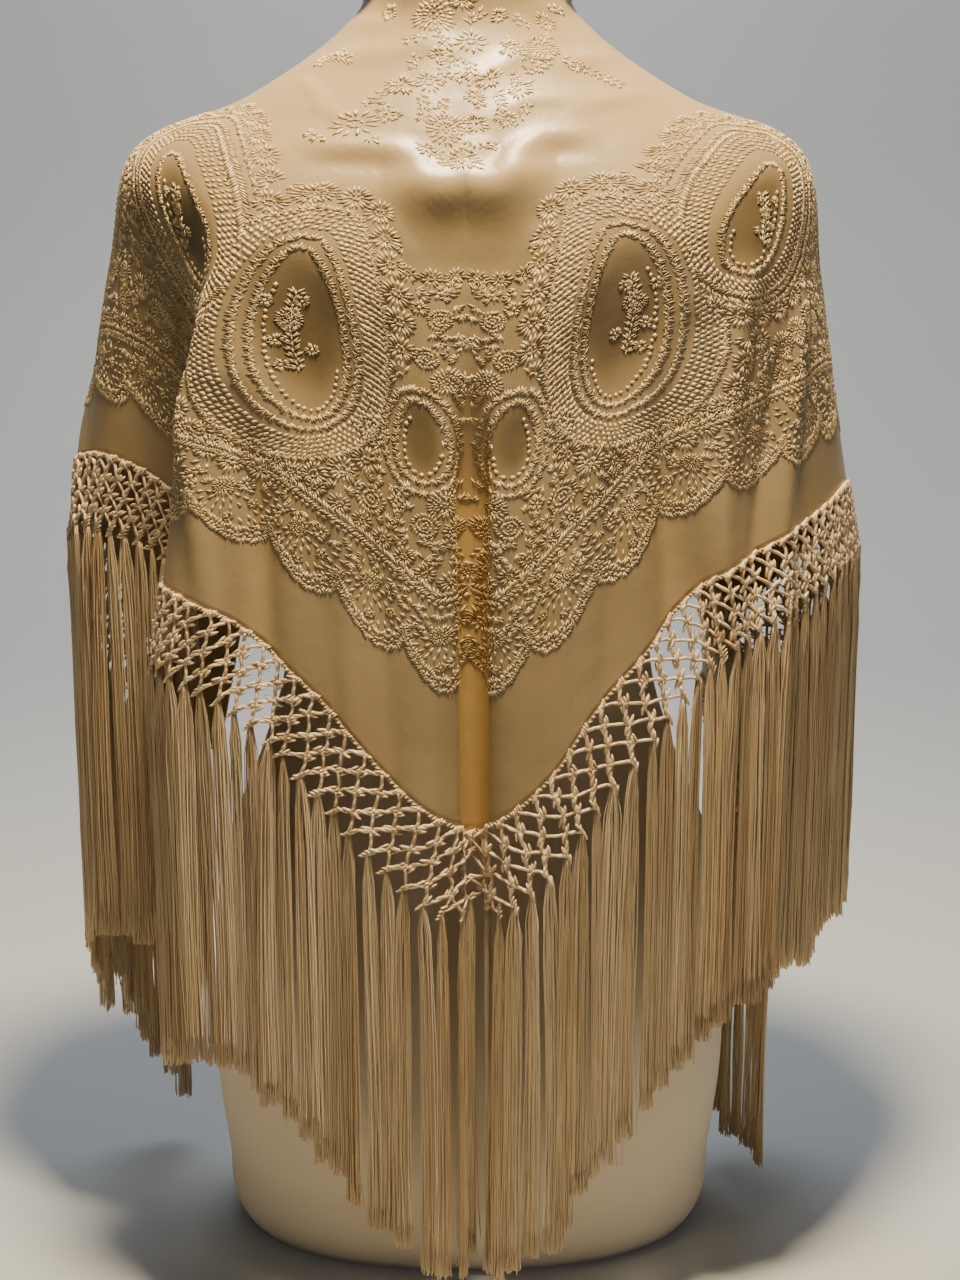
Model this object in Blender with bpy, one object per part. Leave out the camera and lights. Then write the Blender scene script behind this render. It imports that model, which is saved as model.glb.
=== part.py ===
"""Triangular flamenco shawl with a knotted net and long fringe, laid over a limbless dress form.

Metres, +Z up. The origin is the centre of the form's flat base. The wearer's back faces -Y and
the wearer's right is +X. The shawl's flat cut is a triangle: s runs along its long edge from the
nape, t runs from the nape towards the apex, and each point of the cloth is draped along the ray
that joins it to the nape.
"""

import math

import bmesh
import bpy
import numpy as np

MM = 0.001
CM = 0.01

# Driving dimensions of the shawl
LONG_EDGE_HALF = 0.60
CUT_HEIGHT = 0.56
CLOTH_WALL = 1.3 * MM
NET_WALL = 1.6 * MM
NET_DEPTH = 43 * MM
SEAM_GAP = 0.4 * MM
STRIP_HEIGHT = 6 * MM
KNOT_PITCH = 13 * MM
STRAND_WIDTH = 8.5 * MM
STRAND_LENGTH = 0.226
STRAND_JITTER = 7 * MM
FLOOR_MARGIN = 6 * MM
FORM_CLEARANCE = 2.0 * MM

# A strand's shape: at each share of its length, its width and its lower edge's slant against
# the piece above
STRAND_COLUMNS = ("share", "width", "slant")
STRAND_SHAPE = ((0.06, 0.66, 1.0), (1.0, 1.25, 0.0))

# How finely the cloth and the form are divided: up to each share of a leg, so many grid lines
GRID_STEPS = ((0.09, 5), (0.45, 14), (0.70, 6), (0.88, 7), (1.0, 4))
FORM_RING_POINTS = 32
FORM_FULLNESS = 2.3

# Dress form: one row per level, in centimetres from the base centre
FORM_COLUMNS = ("level", "half_width", "back", "front")
FORM_LEVELS = (
    (0.0, 14.7, 9.4, 10.0),
    (0.6, 15.1, 9.8, 10.4),
    (5.0, 15.8, 10.4, 10.9),
    (11.4, 16.5, 10.9, 11.3),
    (18.0, 16.3, 10.7, 11.2),
    (25.0, 15.5, 9.7, 10.6),
    (31.5, 13.0, 8.2, 9.7),
    (36.0, 11.6, 7.6, 9.1),
    (40.0, 11.3, 7.5, 9.0),
    (45.0, 11.9, 8.3, 9.7),
    (50.0, 13.0, 9.4, 11.2),
    (55.0, 14.4, 10.4, 12.6),
    (60.0, 16.0, 10.9, 11.6),
    (63.0, 17.6, 10.6, 10.2),
    (65.2, 18.8, 9.8, 8.6),
    (66.7, 18.9, 8.7, 7.4),
    (68.0, 18.1, 7.6, 6.5),
    (69.1, 15.8, 6.9, 5.9),
    (70.2, 13.0, 6.5, 5.6),
    (71.4, 10.2, 6.1, 5.4),
    (72.9, 7.7, 5.7, 5.3),
    (74.8, 6.1, 5.4, 5.3),
    (77.5, 5.4, 5.2, 5.4),
    (82.0, 5.2, 5.1, 5.3),
    (83.4, 4.7, 4.6, 4.8),
    (83.9, 3.6, 3.5, 3.7),
)

# Cloth over the neck and shoulders: one row per ray, degrees from the centre back towards the
# wearer's right, with the place of its neck, yoke and shoulder points in centimetres. The left
# side is the same, mirrored.
YOKE_COLUMNS = ("ray", "neck_x", "neck_y", "neck_z", "yoke_x", "yoke_y", "yoke_z",
                "shoulder_x", "shoulder_y", "shoulder_z")
YOKE_RAYS = (
    (0, 0.0, -6.3, 74.3, 0.0, -9.7, 67.8, 0.0, -12.0, 60.5),
    (15, 1.9, -6.1, 74.4, 3.8, -9.4, 68.2, 7.0, -12.0, 61.5),
    (30, 3.6, -5.4, 74.6, 8.0, -7.9, 69.3, 13.6, -9.7, 64.5),
    (43, 4.8, -4.5, 74.9, 10.9, -5.6, 70.4, 17.7, -5.6, 66.9),
    (55, 5.7, -3.1, 75.3, 12.5, -2.8, 70.8, 19.6, -0.6, 67.8),
    (65, 6.2, -1.2, 75.6, 12.3, 0.6, 70.7, 18.8, 3.4, 67.1),
    (75, 6.4, 0.9, 75.6, 10.9, 3.7, 69.9, 16.0, 6.7, 65.6),
    (83, 6.2, 2.9, 75.3, 9.1, 5.9, 69.0, 13.1, 8.7, 63.6),
    (90, 5.8, 4.6, 74.6, 7.7, 7.2, 68.2, 10.7, 9.9, 61.5),
)
NAPE = (0.0, -5.8, 80.0)
NECK_SIDE_RISE = 1.1

# Hem: one row per ray, degrees from the centre back, negative on the wearer's left. "late" is
# how late on the way down the cloth leaves the plain curve of the shoulders for this fold.
HEM_COLUMNS = ("ray", "x", "y", "z", "late")
HEM_RAYS = (
    (-90, -17.0, 7.2, 28.6, 1.0),
    (-86, -19.4, 8.4, 32.4, 1.0),
    (-80, -21.6, 7.8, 37.4, 1.0),
    (-72, -23.2, 5.4, 42.2, 0.9),
    (-63.5, -23.8, 2.4, 46.6, 0.8),
    (-55.5, -23.5, -0.8, 49.5, 0.8),
    (-48, -21.4, -4.0, 50.2, 0.8),
    (-41, -18.2, -5.4, 49.0, 0.7),
    (-35, -15.9, -6.8, 46.9, 0.6),
    (-30.5, -15.6, -8.8, 45.2, 0.6),
    (-26, -17.1, -10.8, 43.8, 0.5),
    (-21.5, -15.6, -12.8, 43.2, 0.8),
    (-16.5, -12.4, -13.1, 41.6, 1.1),
    (-12.3, -9.6, -14.3, 39.3, 1.0),
    (-9, -7.2, -14.0, 36.7, 1.2),
    (-5.4, -4.3, -14.9, 33.4, 1.0),
    (-2.6, -1.7, -15.2, 31.2, 0.9),
    (-1.2, -0.6, -14.0, 30.3, 0.8),
    (0.0, 0.3, -12.9, 29.6, 0.8),
    (1.3, 1.3, -13.3, 30.1, 0.8),
    (2.8, 2.2, -14.7, 31.1, 0.9),
    (5.4, 4.4, -15.0, 33.2, 1.0),
    (8.8, 6.9, -14.4, 36.8, 1.1),
    (12.4, 9.8, -13.4, 40.1, 1.1),
    (16.8, 12.4, -11.9, 43.2, 1.3),
    (21.4, 14.8, -11.6, 44.7, 1.1),
    (27, 17.6, -9.6, 46.0, 0.9),
    (34, 20.6, -6.2, 47.3, 0.8),
    (42.5, 22.7, -2.4, 48.3, 0.8),
    (51, 23.4, 1.6, 47.3, 0.8),
    (60, 22.7, 5.6, 44.2, 0.8),
    (68, 20.3, 8.2, 40.6, 0.9),
    (74, 17.6, 8.4, 37.2, 1.0),
    (79, 16.0, 6.6, 34.6, 1.1),
    (84, 16.8, 3.6, 32.2, 1.2),
    (87.5, 18.6, 1.2, 30.4, 1.2),
    (90, 20.2, -0.6, 29.0, 1.2),
)
KNEE_SHARE = 0.34

# Slack of the cloth across the upper back: soft ridges between two points of the flat cut, in
# centimetres, with their half width and height in millimetres.
RIDGE_COLUMNS = ("s0", "t0", "s1", "t1", "half_width", "height")
RIDGES = (
    (-9.5, 8.0, 1.5, 7.0, 10, 5.0),
    (-1.5, 9.6, 9.0, 7.2, 9, 4.5),
    (-8.5, 12.4, -0.5, 14.2, 11, 8.0),
    (-1.0, 12.6, 7.5, 10.8, 10, 5.5),
    (1.0, 15.8, 8.5, 13.2, 11, 6.5),
)

# Colours from the photograph, linear values of the warm ivory silk and the beige form
SILK_COLOUR = (0.83, 0.66, 0.42, 1.0)
NET_COLOUR = (0.85, 0.70, 0.50, 1.0)
FRINGE_COLOUR = (0.78, 0.62, 0.40, 1.0)
FORM_COLOUR = (0.62, 0.53, 0.42, 1.0)

# Fringe pieces: each backing strip's share of a leg, from the apex to the tip
FRINGE_PIECES = (("back", 0.0, 0.312), ("side", 0.312, 0.68), ("front", 0.68, 1.0))


def clear_scene():
    """Removes whatever the file holds at the start."""
    for thing in list(bpy.data.objects):
        bpy.data.objects.remove(thing)


def smooth_rows(where, knots, values):
    """Cubic curve through the rows of a table: values at knots, read at where."""
    where = np.clip(np.asarray(where, float), knots[0], knots[-1])
    slopes = np.gradient(values, knots, axis=0)
    span = np.clip(np.searchsorted(knots, where, side="right") - 1, 0, len(knots) - 2)
    width = (knots[span + 1] - knots[span])[..., None]
    u = (where[..., None] - knots[span][..., None]) / width
    start, end = values[span], values[span + 1]
    return (
        start * (1 + 2 * u) * (1 - u) ** 2
        + end * u * u * (3 - 2 * u)
        + slopes[span] * width * u * (1 - u) ** 2
        + slopes[span + 1] * width * u * u * (u - 1)
    )


def form_section(level):
    """Half width, back depth and front depth of the form at each level, in metres."""
    table = np.array(FORM_LEVELS) * CM
    return smooth_rows(level, table[:, 0], table[:, 1:])


def form_depth(points):
    """How far each point lies outside the form's surface; negative inside it."""
    points = np.asarray(points, float)

    def level_value(p):
        half, back, front = np.moveaxis(form_section(p[..., 2]), -1, 0)
        depth = np.where(p[..., 1] < 0, back, front)
        across = np.abs(p[..., 0]) / half
        along = np.abs(p[..., 1]) / depth
        return (across**FORM_FULLNESS + along**FORM_FULLNESS) ** (1 / FORM_FULLNESS) - 1

    step = 0.5 * MM
    value = level_value(points)
    gradient = np.stack(
        [
            (level_value(points + step * axis) - level_value(points - step * axis)) / (2 * step)
            for axis in np.eye(3)
        ],
        axis=-1,
    )
    size = np.linalg.norm(gradient, axis=-1)
    return value / size, gradient / size[..., None]


def laid_on_form(points):
    """The points, with those closer to the form than the clearance moved out to it."""
    for _ in range(6):
        depth, outward = form_depth(points)
        points = points + np.maximum(FORM_CLEARANCE - depth, 0)[..., None] * outward
    return points


def cut_reach(ray):
    """Length of a ray of the flat cut, from the nape to the hem. ray is in radians."""
    return 1 / (np.cos(ray) / CUT_HEIGHT + np.sin(np.abs(ray)) / LONG_EDGE_HALF)


def ray_controls(ray):
    """The points that a ray of the cloth passes: nape, neck, yoke, shoulder, knee and hem."""
    degrees = np.degrees(ray)
    side = np.where(degrees < 0, -1.0, 1.0)
    yoke = np.array(YOKE_RAYS, float)
    upper = smooth_rows(np.abs(degrees), yoke[:, 0], yoke[:, 1:])
    hem_table = np.array(HEM_RAYS, float)
    hem = smooth_rows(degrees, hem_table[:, 0], hem_table[:, 1:])
    neck, mid, shoulder = upper[..., 0:3], upper[..., 3:6], upper[..., 6:9]
    for point in (neck, mid, shoulder):
        point[..., 0] *= side
    end, late = hem[..., :3], hem[..., 3:4]
    share = KNEE_SHARE**late
    knee = shoulder + (end - shoulder) * np.concatenate(
        [share, share, np.full_like(share, KNEE_SHARE)], axis=-1
    )
    nape = np.broadcast_to(np.array(NAPE), end.shape)
    turn = np.arctan2(neck[..., 0], -neck[..., 1]) / 2
    round_neck = (np.hypot(neck[..., 0], neck[..., 1]) - NAPE[1]) / 2
    rise = NECK_SIDE_RISE * np.abs(np.sin(ray))
    halfway = np.stack(
        [
            round_neck * np.sin(turn),
            -round_neck * np.cos(turn),
            (NAPE[2] + neck[..., 2]) / 2 + rise,
        ],
        axis=-1,
    )
    return [p * CM for p in (nape, halfway, neck, mid, shoulder, knee, end)]


def drape(s, t):
    """Places points of the flat cut, in metres, on the draped cloth's inner face."""
    s, t = np.broadcast_arrays(np.asarray(s, float), np.asarray(t, float))
    ray = np.arctan2(s, np.maximum(t, 0))
    reach = np.hypot(s, t)
    share = reach / cut_reach(ray)
    controls = ray_controls(ray)
    spans = [np.linalg.norm(b - a, axis=-1) for a, b in zip(controls, controls[1:])]
    total = sum(spans)
    knots = np.stack([np.zeros_like(total)] + list(np.cumsum(spans, axis=0)), axis=-1) / total[..., None]
    slopes = [(controls[1] - controls[0]) / (knots[..., 1] - knots[..., 0])[..., None]]
    for k in range(1, len(controls) - 1):
        slopes.append(
            (controls[k + 1] - controls[k - 1]) / (knots[..., k + 1] - knots[..., k - 1])[..., None]
        )
    slopes.append((controls[-1] - controls[-2]) / (knots[..., -1] - knots[..., -2])[..., None])
    points = controls[-1] + slopes[-1] * np.maximum(share - 1, 0)[..., None]
    for k in range(len(controls) - 1):
        width = (knots[..., k + 1] - knots[..., k])[..., None]
        u = (share[..., None] - knots[..., k][..., None]) / width
        curve = (
            controls[k] * (1 + 2 * u) * (1 - u) ** 2
            + controls[k + 1] * u * u * (3 - 2 * u)
            + slopes[k] * width * u * (1 - u) ** 2
            + slopes[k + 1] * width * u * u * (u - 1)
        )
        points = np.where((u >= 0) & (u < 1), curve, points)
    return laid_on_form(points)


def ridge_height(s, t):
    """Height of the slack folds over the plain drape at points of the flat cut."""
    height = np.zeros(np.broadcast(s, t).shape)
    for s0, t0, s1, t1, half_width, rise in RIDGES:
        start, along = np.array([s0, t0]) * CM, np.array([s1 - s0, t1 - t0]) * CM
        place = ((s - start[0]) * along[0] + (t - start[1]) * along[1]) / (along @ along)
        nearest = np.clip(place, 0, 1)
        off = np.hypot(s - start[0] - nearest * along[0], t - start[1] - nearest * along[1])
        fade = np.sin(np.pi * np.clip(0.15 + 0.7 * place, 0, 1))
        height = height + rise * MM * fade * np.exp(-((off / (half_width * MM)) ** 2))
    return height


def outward(s, t):
    """Unit normals of the plain drape, away from the body."""
    step = 1.5 * MM
    along_s = drape(s + step, t) - drape(s - step, t)
    along_t = drape(s, np.maximum(t + step, 0)) - drape(s, np.maximum(t - step, 0))
    normal = np.cross(along_t, along_s)
    return normal / np.linalg.norm(normal, axis=-1, keepdims=True)


def wall_faces(s, t, wall):
    """Inner and outer points of a cloth wall at points of the flat cut."""
    normal = outward(s, t)
    inner = drape(s, t) + normal * ridge_height(s, t)[..., None]
    return inner, inner + normal * wall


def material(name, colour, roughness, sheen=0.0):
    """A Principled material with the piece's plain colour."""
    made = bpy.data.materials.new(name)
    made.use_nodes = True
    shader = made.node_tree.nodes["Principled BSDF"]
    shader.inputs["Base Color"].default_value = colour
    shader.inputs["Roughness"].default_value = roughness
    shader.inputs["Metallic"].default_value = 0.0
    shader.inputs["Sheen Weight"].default_value = sheen
    made.diffuse_color = colour
    return made


def finished(mesh, name, finish):
    """Turns a bmesh into a smooth-shaded object with outward faces."""
    bmesh.ops.recalc_face_normals(mesh, faces=mesh.faces)
    data = bpy.data.meshes.new(name)
    mesh.to_mesh(data)
    mesh.free()
    data.shade_smooth()
    data.set_sharp_from_angle(angle=math.radians(50))
    data.materials.append(finish)
    made = bpy.data.objects.new(name, data)
    bpy.context.scene.collection.objects.link(made)
    return made


def build_form(finish):
    """The limbless torso form, a closed body with a flat base and a plain capped neck."""
    table = np.array(FORM_LEVELS) * CM
    levels = []
    for low, high in zip(table[:-1, 0], table[1:, 0]):
        count = max(1, round((high - low) / (18 * MM)))
        levels += [low + (high - low) * k / count for k in range(count)]
    levels.append(table[-1, 0])
    mesh = bmesh.new()
    rings = []
    for level in levels:
        half, back, front = form_section(np.array(level))
        ring = []
        for k in range(FORM_RING_POINTS):
            turn = math.tau * k / FORM_RING_POINTS
            c, d = math.cos(turn), math.sin(turn)
            power = 2 / FORM_FULLNESS
            x = half * math.copysign(abs(c) ** power, c)
            y = (back if d < 0 else front) * math.copysign(abs(d) ** power, d)
            ring.append(mesh.verts.new((x, y, level)))
        rings.append(ring)
    for lower, upper in zip(rings, rings[1:]):
        for k in range(FORM_RING_POINTS):
            n = (k + 1) % FORM_RING_POINTS
            mesh.faces.new((lower[k], lower[n], upper[n], upper[k]))
    mesh.faces.new(reversed(rings[0]))
    mesh.faces.new(rings[-1])
    return finished(mesh, "dress_form", finish)


def close_wall(mesh, inner, outer, faces, rim):
    """Adds the two sides of a wall and the strip round its rim."""
    for face in faces:
        mesh.faces.new([outer[k] for k in face])
        mesh.faces.new([inner[k] for k in reversed(face)])
    for a, b in zip(rim, rim[1:] + rim[:1]):
        mesh.faces.new((outer[a], outer[b], inner[b], inner[a]))


def leg_fractions():
    """Where the grid lines of the cut meet a leg, from the apex (0) to the tip (1)."""
    fractions = [0.0]
    for end, count in GRID_STEPS:
        start = fractions[-1]
        fractions += [start + (end - start) * (k + 1) / count for k in range(count)]
    return np.array(fractions)


def build_cloth(finish):
    """The embroidered silk triangle as one draped wall."""
    fractions = leg_fractions()
    n = len(fractions) - 1
    keys = [(i, j) for i in range(-n, n + 1) for j in range(n - abs(i) + 1)]
    s = np.array([math.copysign(fractions[abs(i)], i) for i, _ in keys]) * LONG_EDGE_HALF
    t = np.array([1 - fractions[n - j] for _, j in keys]) * CUT_HEIGHT
    inside, outside = wall_faces(s, t, CLOTH_WALL)
    mesh = bmesh.new()
    inner = {key: mesh.verts.new(p) for key, p in zip(keys, inside)}
    outer = {key: mesh.verts.new(p) for key, p in zip(keys, outside)}
    faces = []
    for side in (1, -1):
        for i in range(n):
            a, b = side * i, side * (i + 1)
            for j in range(n - i - 1):
                faces.append(((a, j), (b, j), (b, j + 1), (a, j + 1))[::side])
            faces.append(((a, n - i - 1), (b, n - i - 1), (a, n - i))[::side])
    rim = [(i, 0) for i in range(-n, n + 1)]
    rim += [(i, n - i) for i in range(n - 1, -1, -1)]
    rim += [(i, n + i) for i in range(-1, -n, -1)]
    close_wall(mesh, inner, outer, faces, rim)
    return finished(mesh, "shawl_cloth", finish)


def leg_length():
    """Length of one fringed leg, from the apex to the tip."""
    return math.hypot(LONG_EDGE_HALF, CUT_HEIGHT)


def corner_length():
    """How far the net's lower edge runs round half of the apex's corner."""
    return NET_DEPTH * math.atan2(CUT_HEIGHT, LONG_EDGE_HALF)


def hem_stations():
    """Distances along a leg at which everything below the hem has its corners.

    They are the cloth's own corners, so that the pieces meet along the same chords; those
    below zero go round the corner of the apex.
    """
    turn = corner_length() * np.array([1.0, 0.66, 0.33])
    return np.concatenate([-turn, leg_fractions() * leg_length()])


def below_hem(along, depth, side):
    """Inner and outer points below the hem, at distances along a leg and past the hem."""
    leg = np.array([LONG_EDGE_HALF, -CUT_HEIGHT]) / leg_length()
    half_corner = math.atan2(CUT_HEIGHT, LONG_EDGE_HALF)
    turn = half_corner - np.clip(-along / NET_DEPTH, 0, half_corner)
    on_leg = np.maximum(along, 0)
    s = on_leg * leg[0] + depth * np.sin(turn)
    t = CUT_HEIGHT + on_leg * leg[1] + depth * np.cos(turn)
    return wall_faces(side * np.maximum(s, SEAM_GAP), t, NET_WALL)


def build_net(side_name, side, finish):
    """The knotted net of one leg, as an uncut wall from the hem to its lowest knots."""
    stations = hem_stations()
    corner = int(np.argmax(stations >= 0))
    last = len(stations) - 1
    mesh = bmesh.new()
    inner, outer = {}, {}
    for row, depth in enumerate((SEAM_GAP, NET_DEPTH / 2, NET_DEPTH)):
        for column, points in enumerate(zip(*below_hem(stations, depth, side))):
            if row or column >= corner:
                inner[row, column], outer[row, column] = (mesh.verts.new(p) for p in points)
    faces = []
    for column in range(last):
        for row in (0, 1):
            face = ((row, column), (row + 1, column), (row + 1, column + 1), (row, column + 1))
            if row == 0 and column < corner:
                face = ((0, corner), (1, column), (1, column + 1))
            faces.append(face[::side])
    rim = [(0, column) for column in range(last, corner - 1, -1)] + [(1, 0)]
    rim += [(2, column) for column in range(last + 1)] + [(1, last)]
    close_wall(mesh, inner, outer, faces, rim[::side])
    return finished(mesh, f"net_{side_name}", finish)


def strand_middles(start, end):
    """Middles of the strands along a strip, one below each knot of the net."""
    room = STRAND_WIDTH / 2 + SEAM_GAP
    first = math.ceil((start + room) / KNOT_PITCH - 0.5)
    last = math.floor((end - room) / KNOT_PITCH - 0.5)
    return [(k + 0.5) * KNOT_PITCH for k in range(first, last + 1)]


def on_chords(where, stations, points):
    """Points on the straight chords between the stations."""
    return np.stack([np.interp(where, stations, points[:, axis]) for axis in range(3)], axis=-1)


def build_fringe(name, side, start, end, finish, seed):
    """A narrow backing strip under the net, with its strands hanging plumb from it."""
    dice = np.random.default_rng(seed)
    stations = hem_stations()
    edges = [start, end]
    middles = strand_middles(start, end)
    for middle in middles:
        edges += [middle - STRAND_WIDTH / 2, middle + STRAND_WIDTH / 2]
    edges += [x for x in stations if start < x < end and min(abs(x - e) for e in edges) > 1 * MM]
    edges = np.array(sorted(edges))
    mesh = bmesh.new()
    top = []
    for chords in below_hem(stations, NET_DEPTH, side):
        points = on_chords(edges, stations, chords) - np.array([0, 0, SEAM_GAP])
        top.append(points)
    low = [points - np.array([0, 0, STRIP_HEIGHT]) for points in top]
    top, low = ([[mesh.verts.new(p) for p in face] for face in row] for row in (top, low))
    last = len(edges) - 1
    hanging = []
    for k in range(last):
        mesh.faces.new((top[0][k], top[0][k + 1], low[0][k + 1], low[0][k]))
        mesh.faces.new((top[1][k], low[1][k], low[1][k + 1], top[1][k + 1]))
        mesh.faces.new((top[0][k], top[1][k], top[1][k + 1], top[0][k + 1]))
        under = mesh.faces.new((low[0][k], low[0][k + 1], low[1][k + 1], low[1][k]))
        if min(abs((edges[k] + edges[k + 1]) / 2 - middle) for middle in middles) < STRAND_WIDTH / 2:
            hanging.append(under)
    for k in (0, last):
        mesh.faces.new((top[0][k], low[0][k], low[1][k], top[1][k]))
    for region in strand_roots(hanging):
        hang_strand(mesh, region, dice)
    return finished(mesh, name, finish)


def strand_roots(faces):
    """Groups the strip's lower faces into strands: faces side by side belong together."""
    groups = []
    for face in faces:
        if groups and any(face in edge.link_faces for f in groups[-1] for edge in f.edges):
            groups[-1].append(face)
        else:
            groups.append([face])
    return groups


def hang_strand(mesh, region, dice):
    """Draws one strand straight down from its root, narrower where it leaves the strip."""
    points = np.array([v.co for face in region for v in face.verts])
    middle = points.mean(axis=0)
    floor = FLOOR_MARGIN * dice.uniform(1, 2.2)
    length = STRAND_LENGTH - STRIP_HEIGHT + STRAND_JITTER * dice.uniform(-1, 1)
    length = min(length, middle[2] - floor)
    above = 0.0
    for share, width, slant in STRAND_SHAPE:
        made = bmesh.ops.extrude_face_region(mesh, geom=region)["geom"]
        bmesh.ops.delete(mesh, geom=region, context="FACES_ONLY")
        region = [g for g in made if isinstance(g, bmesh.types.BMFace)]
        for v in {v for face in region for v in face.verts}:
            lean = v.co.z + above * length - middle[2]
            v.co.x = middle[0] + (v.co.x - middle[0]) * width
            v.co.y = middle[1] + (v.co.y - middle[1]) * width
            v.co.z = middle[2] + lean * slant - share * length
        above = share


def build():
    """Builds every piece of the shawl and its form."""
    clear_scene()
    silk = material("silk_crepe", SILK_COLOUR, 0.45, 0.3)
    knots = material("silk_net", NET_COLOUR, 0.5)
    strands = material("silk_fringe", FRINGE_COLOUR, 0.5)
    jersey = material("form_cover", FORM_COLOUR, 0.8)
    build_form(jersey)
    build_cloth(silk)
    for number, (side_name, side) in enumerate((("left", -1), ("right", 1))):
        build_net(side_name, side, knots)
        for piece, (part, low, high) in enumerate(FRINGE_PIECES):
            start = low * leg_length() + SEAM_GAP if low else -corner_length()
            end = high * leg_length() - SEAM_GAP
            seed = 10 * number + piece
            build_fringe(f"fringe_{part}_{side_name}", side, start, end, strands, seed)


build()
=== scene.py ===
"""A draped silk shawl with raised embroidery, a knotted net and a long fringe, on its dress form.

Every textile piece is placed through the flat cut: s runs along the long edge from the nape
towards the wearer's right, t runs from the nape to the apex, both in metres.
"""

import logging
import math
from collections.abc import Callable
from dataclasses import dataclass, field
from enum import Enum

import bmesh
import bpy
import numpy as np
from mathutils import Matrix, Vector


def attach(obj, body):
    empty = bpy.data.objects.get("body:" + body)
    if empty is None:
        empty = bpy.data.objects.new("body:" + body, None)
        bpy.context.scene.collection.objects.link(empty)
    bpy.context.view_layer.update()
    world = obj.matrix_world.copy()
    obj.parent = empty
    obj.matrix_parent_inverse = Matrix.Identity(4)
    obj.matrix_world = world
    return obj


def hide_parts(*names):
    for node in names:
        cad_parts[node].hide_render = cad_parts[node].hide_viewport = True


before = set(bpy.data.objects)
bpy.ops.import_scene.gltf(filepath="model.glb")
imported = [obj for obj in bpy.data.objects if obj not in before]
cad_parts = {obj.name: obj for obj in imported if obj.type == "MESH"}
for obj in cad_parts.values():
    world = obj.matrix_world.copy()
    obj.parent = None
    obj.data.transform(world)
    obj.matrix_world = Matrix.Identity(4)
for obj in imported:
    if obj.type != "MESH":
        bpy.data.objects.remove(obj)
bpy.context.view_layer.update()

log = logging.getLogger("shawl")

MM = 0.001
CM = 0.01


# Colour and node helpers


def linear(code: str) -> tuple[float, float, float, float]:
    """Turns a hex sRGB colour into linear RGBA.

    Args:
        code: six hex digits, with or without a leading hash.

    Returns:
        The linear colour, with alpha 1.
    """
    digits = code.lstrip("#")
    parts = [int(digits[k:k + 2], 16) / 255 for k in (0, 2, 4)]
    lit = [c / 12.92 if c <= 0.04045 else ((c + 0.055) / 1.055) ** 2.4 for c in parts]
    return (*lit, 1.0)


def add_node(tree: bpy.types.NodeTree, kind: str, settings: dict | None = None,
             links: dict | None = None) -> bpy.types.Node:
    """Adds one shader node with its settings and incoming links.

    Args:
        tree: the material's node tree.
        kind: the node's type name.
        settings: property or socket values; a socket is named, or numbered as "#0".
        links: socket name or "#number" to an output socket.

    Returns:
        The new node.
    """
    node = tree.nodes.new(kind)

    def socket(key: str) -> bpy.types.NodeSocket:
        """Finds an input by name or number."""
        return node.inputs[int(key[1:])] if key.startswith("#") else node.inputs[key]

    for key, value in (settings or {}).items():
        if hasattr(node, key) and not key.startswith("#"):
            setattr(node, key, value)
        else:
            socket(key).default_value = value
    for key, source in (links or {}).items():
        tree.links.new(source, socket(key))
    return node


def new_material(name: str, looks: dict) -> tuple[bpy.types.Material, bpy.types.NodeTree, bpy.types.Node]:
    """Makes a node material with its Principled shader.

    Args:
        name: the material's name.
        looks: the shader's sockets by name, and their values.

    Returns:
        The material, its tree and the shader node.
    """
    material = bpy.data.materials.new(name)
    material.use_nodes = True
    tree = material.node_tree
    shader = tree.nodes["Principled BSDF"]
    for key, value in looks.items():
        shader.inputs[key].default_value = value
    return material, tree, shader


def ramp_colours(node: bpy.types.Node, stops: list[tuple[float, str]]) -> None:
    """Sets a colour ramp's stops from hex colours.

    Args:
        node: the ramp node.
        stops: position and hex colour of each stop.
    """
    elements = node.color_ramp.elements
    while len(elements) < len(stops):
        elements.new(0.5)
    for element, (place, code) in zip(elements, stops):
        element.position = place
        element.color = linear(code)


def cloudy(tree: bpy.types.NodeTree, where: bpy.types.NodeSocket, scale: float, detail: float,
           stops: list[tuple[float, str]]) -> bpy.types.NodeSocket:
    """Adds a colour that drifts between two tones in soft clouds.

    Args:
        tree: the material's node tree.
        where: the coordinates.
        scale: how close together the clouds lie.
        detail: how fine their edges are.
        stops: position and hex colour of the darker and of the lighter tone.

    Returns:
        The colour.
    """
    cloud = add_node(tree, "ShaderNodeTexNoise", {"Scale": scale, "Detail": detail}, {"Vector": where})
    tone = add_node(tree, "ShaderNodeValToRGB", {}, {"Fac": cloud.outputs["Fac"]})
    ramp_colours(tone, stops)
    return tone.outputs["Color"]


def tinted(tree: bpy.types.NodeTree, colour: bpy.types.NodeSocket, layer: str, most: float,
           tint: str) -> bpy.types.NodeSocket:
    """Mixes a tint into a colour as far as a vertex layer says.

    Args:
        tree: the material's node tree.
        colour: the colour so far.
        layer: the vertex layer, from nought to one.
        most: the tint's share where the layer is one.
        tint: hex colour.

    Returns:
        The new colour.
    """
    told = add_node(tree, "ShaderNodeAttribute", {"attribute_name": layer})
    share = add_node(tree, "ShaderNodeMath", {"operation": "MULTIPLY", "#1": most},
                     {"#0": told.outputs["Fac"]})
    mixed = add_node(tree, "ShaderNodeMix", {"data_type": "RGBA", "#7": linear(tint)},
                     {"#0": share.outputs[0], "#6": colour})
    return mixed.outputs[2]


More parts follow.
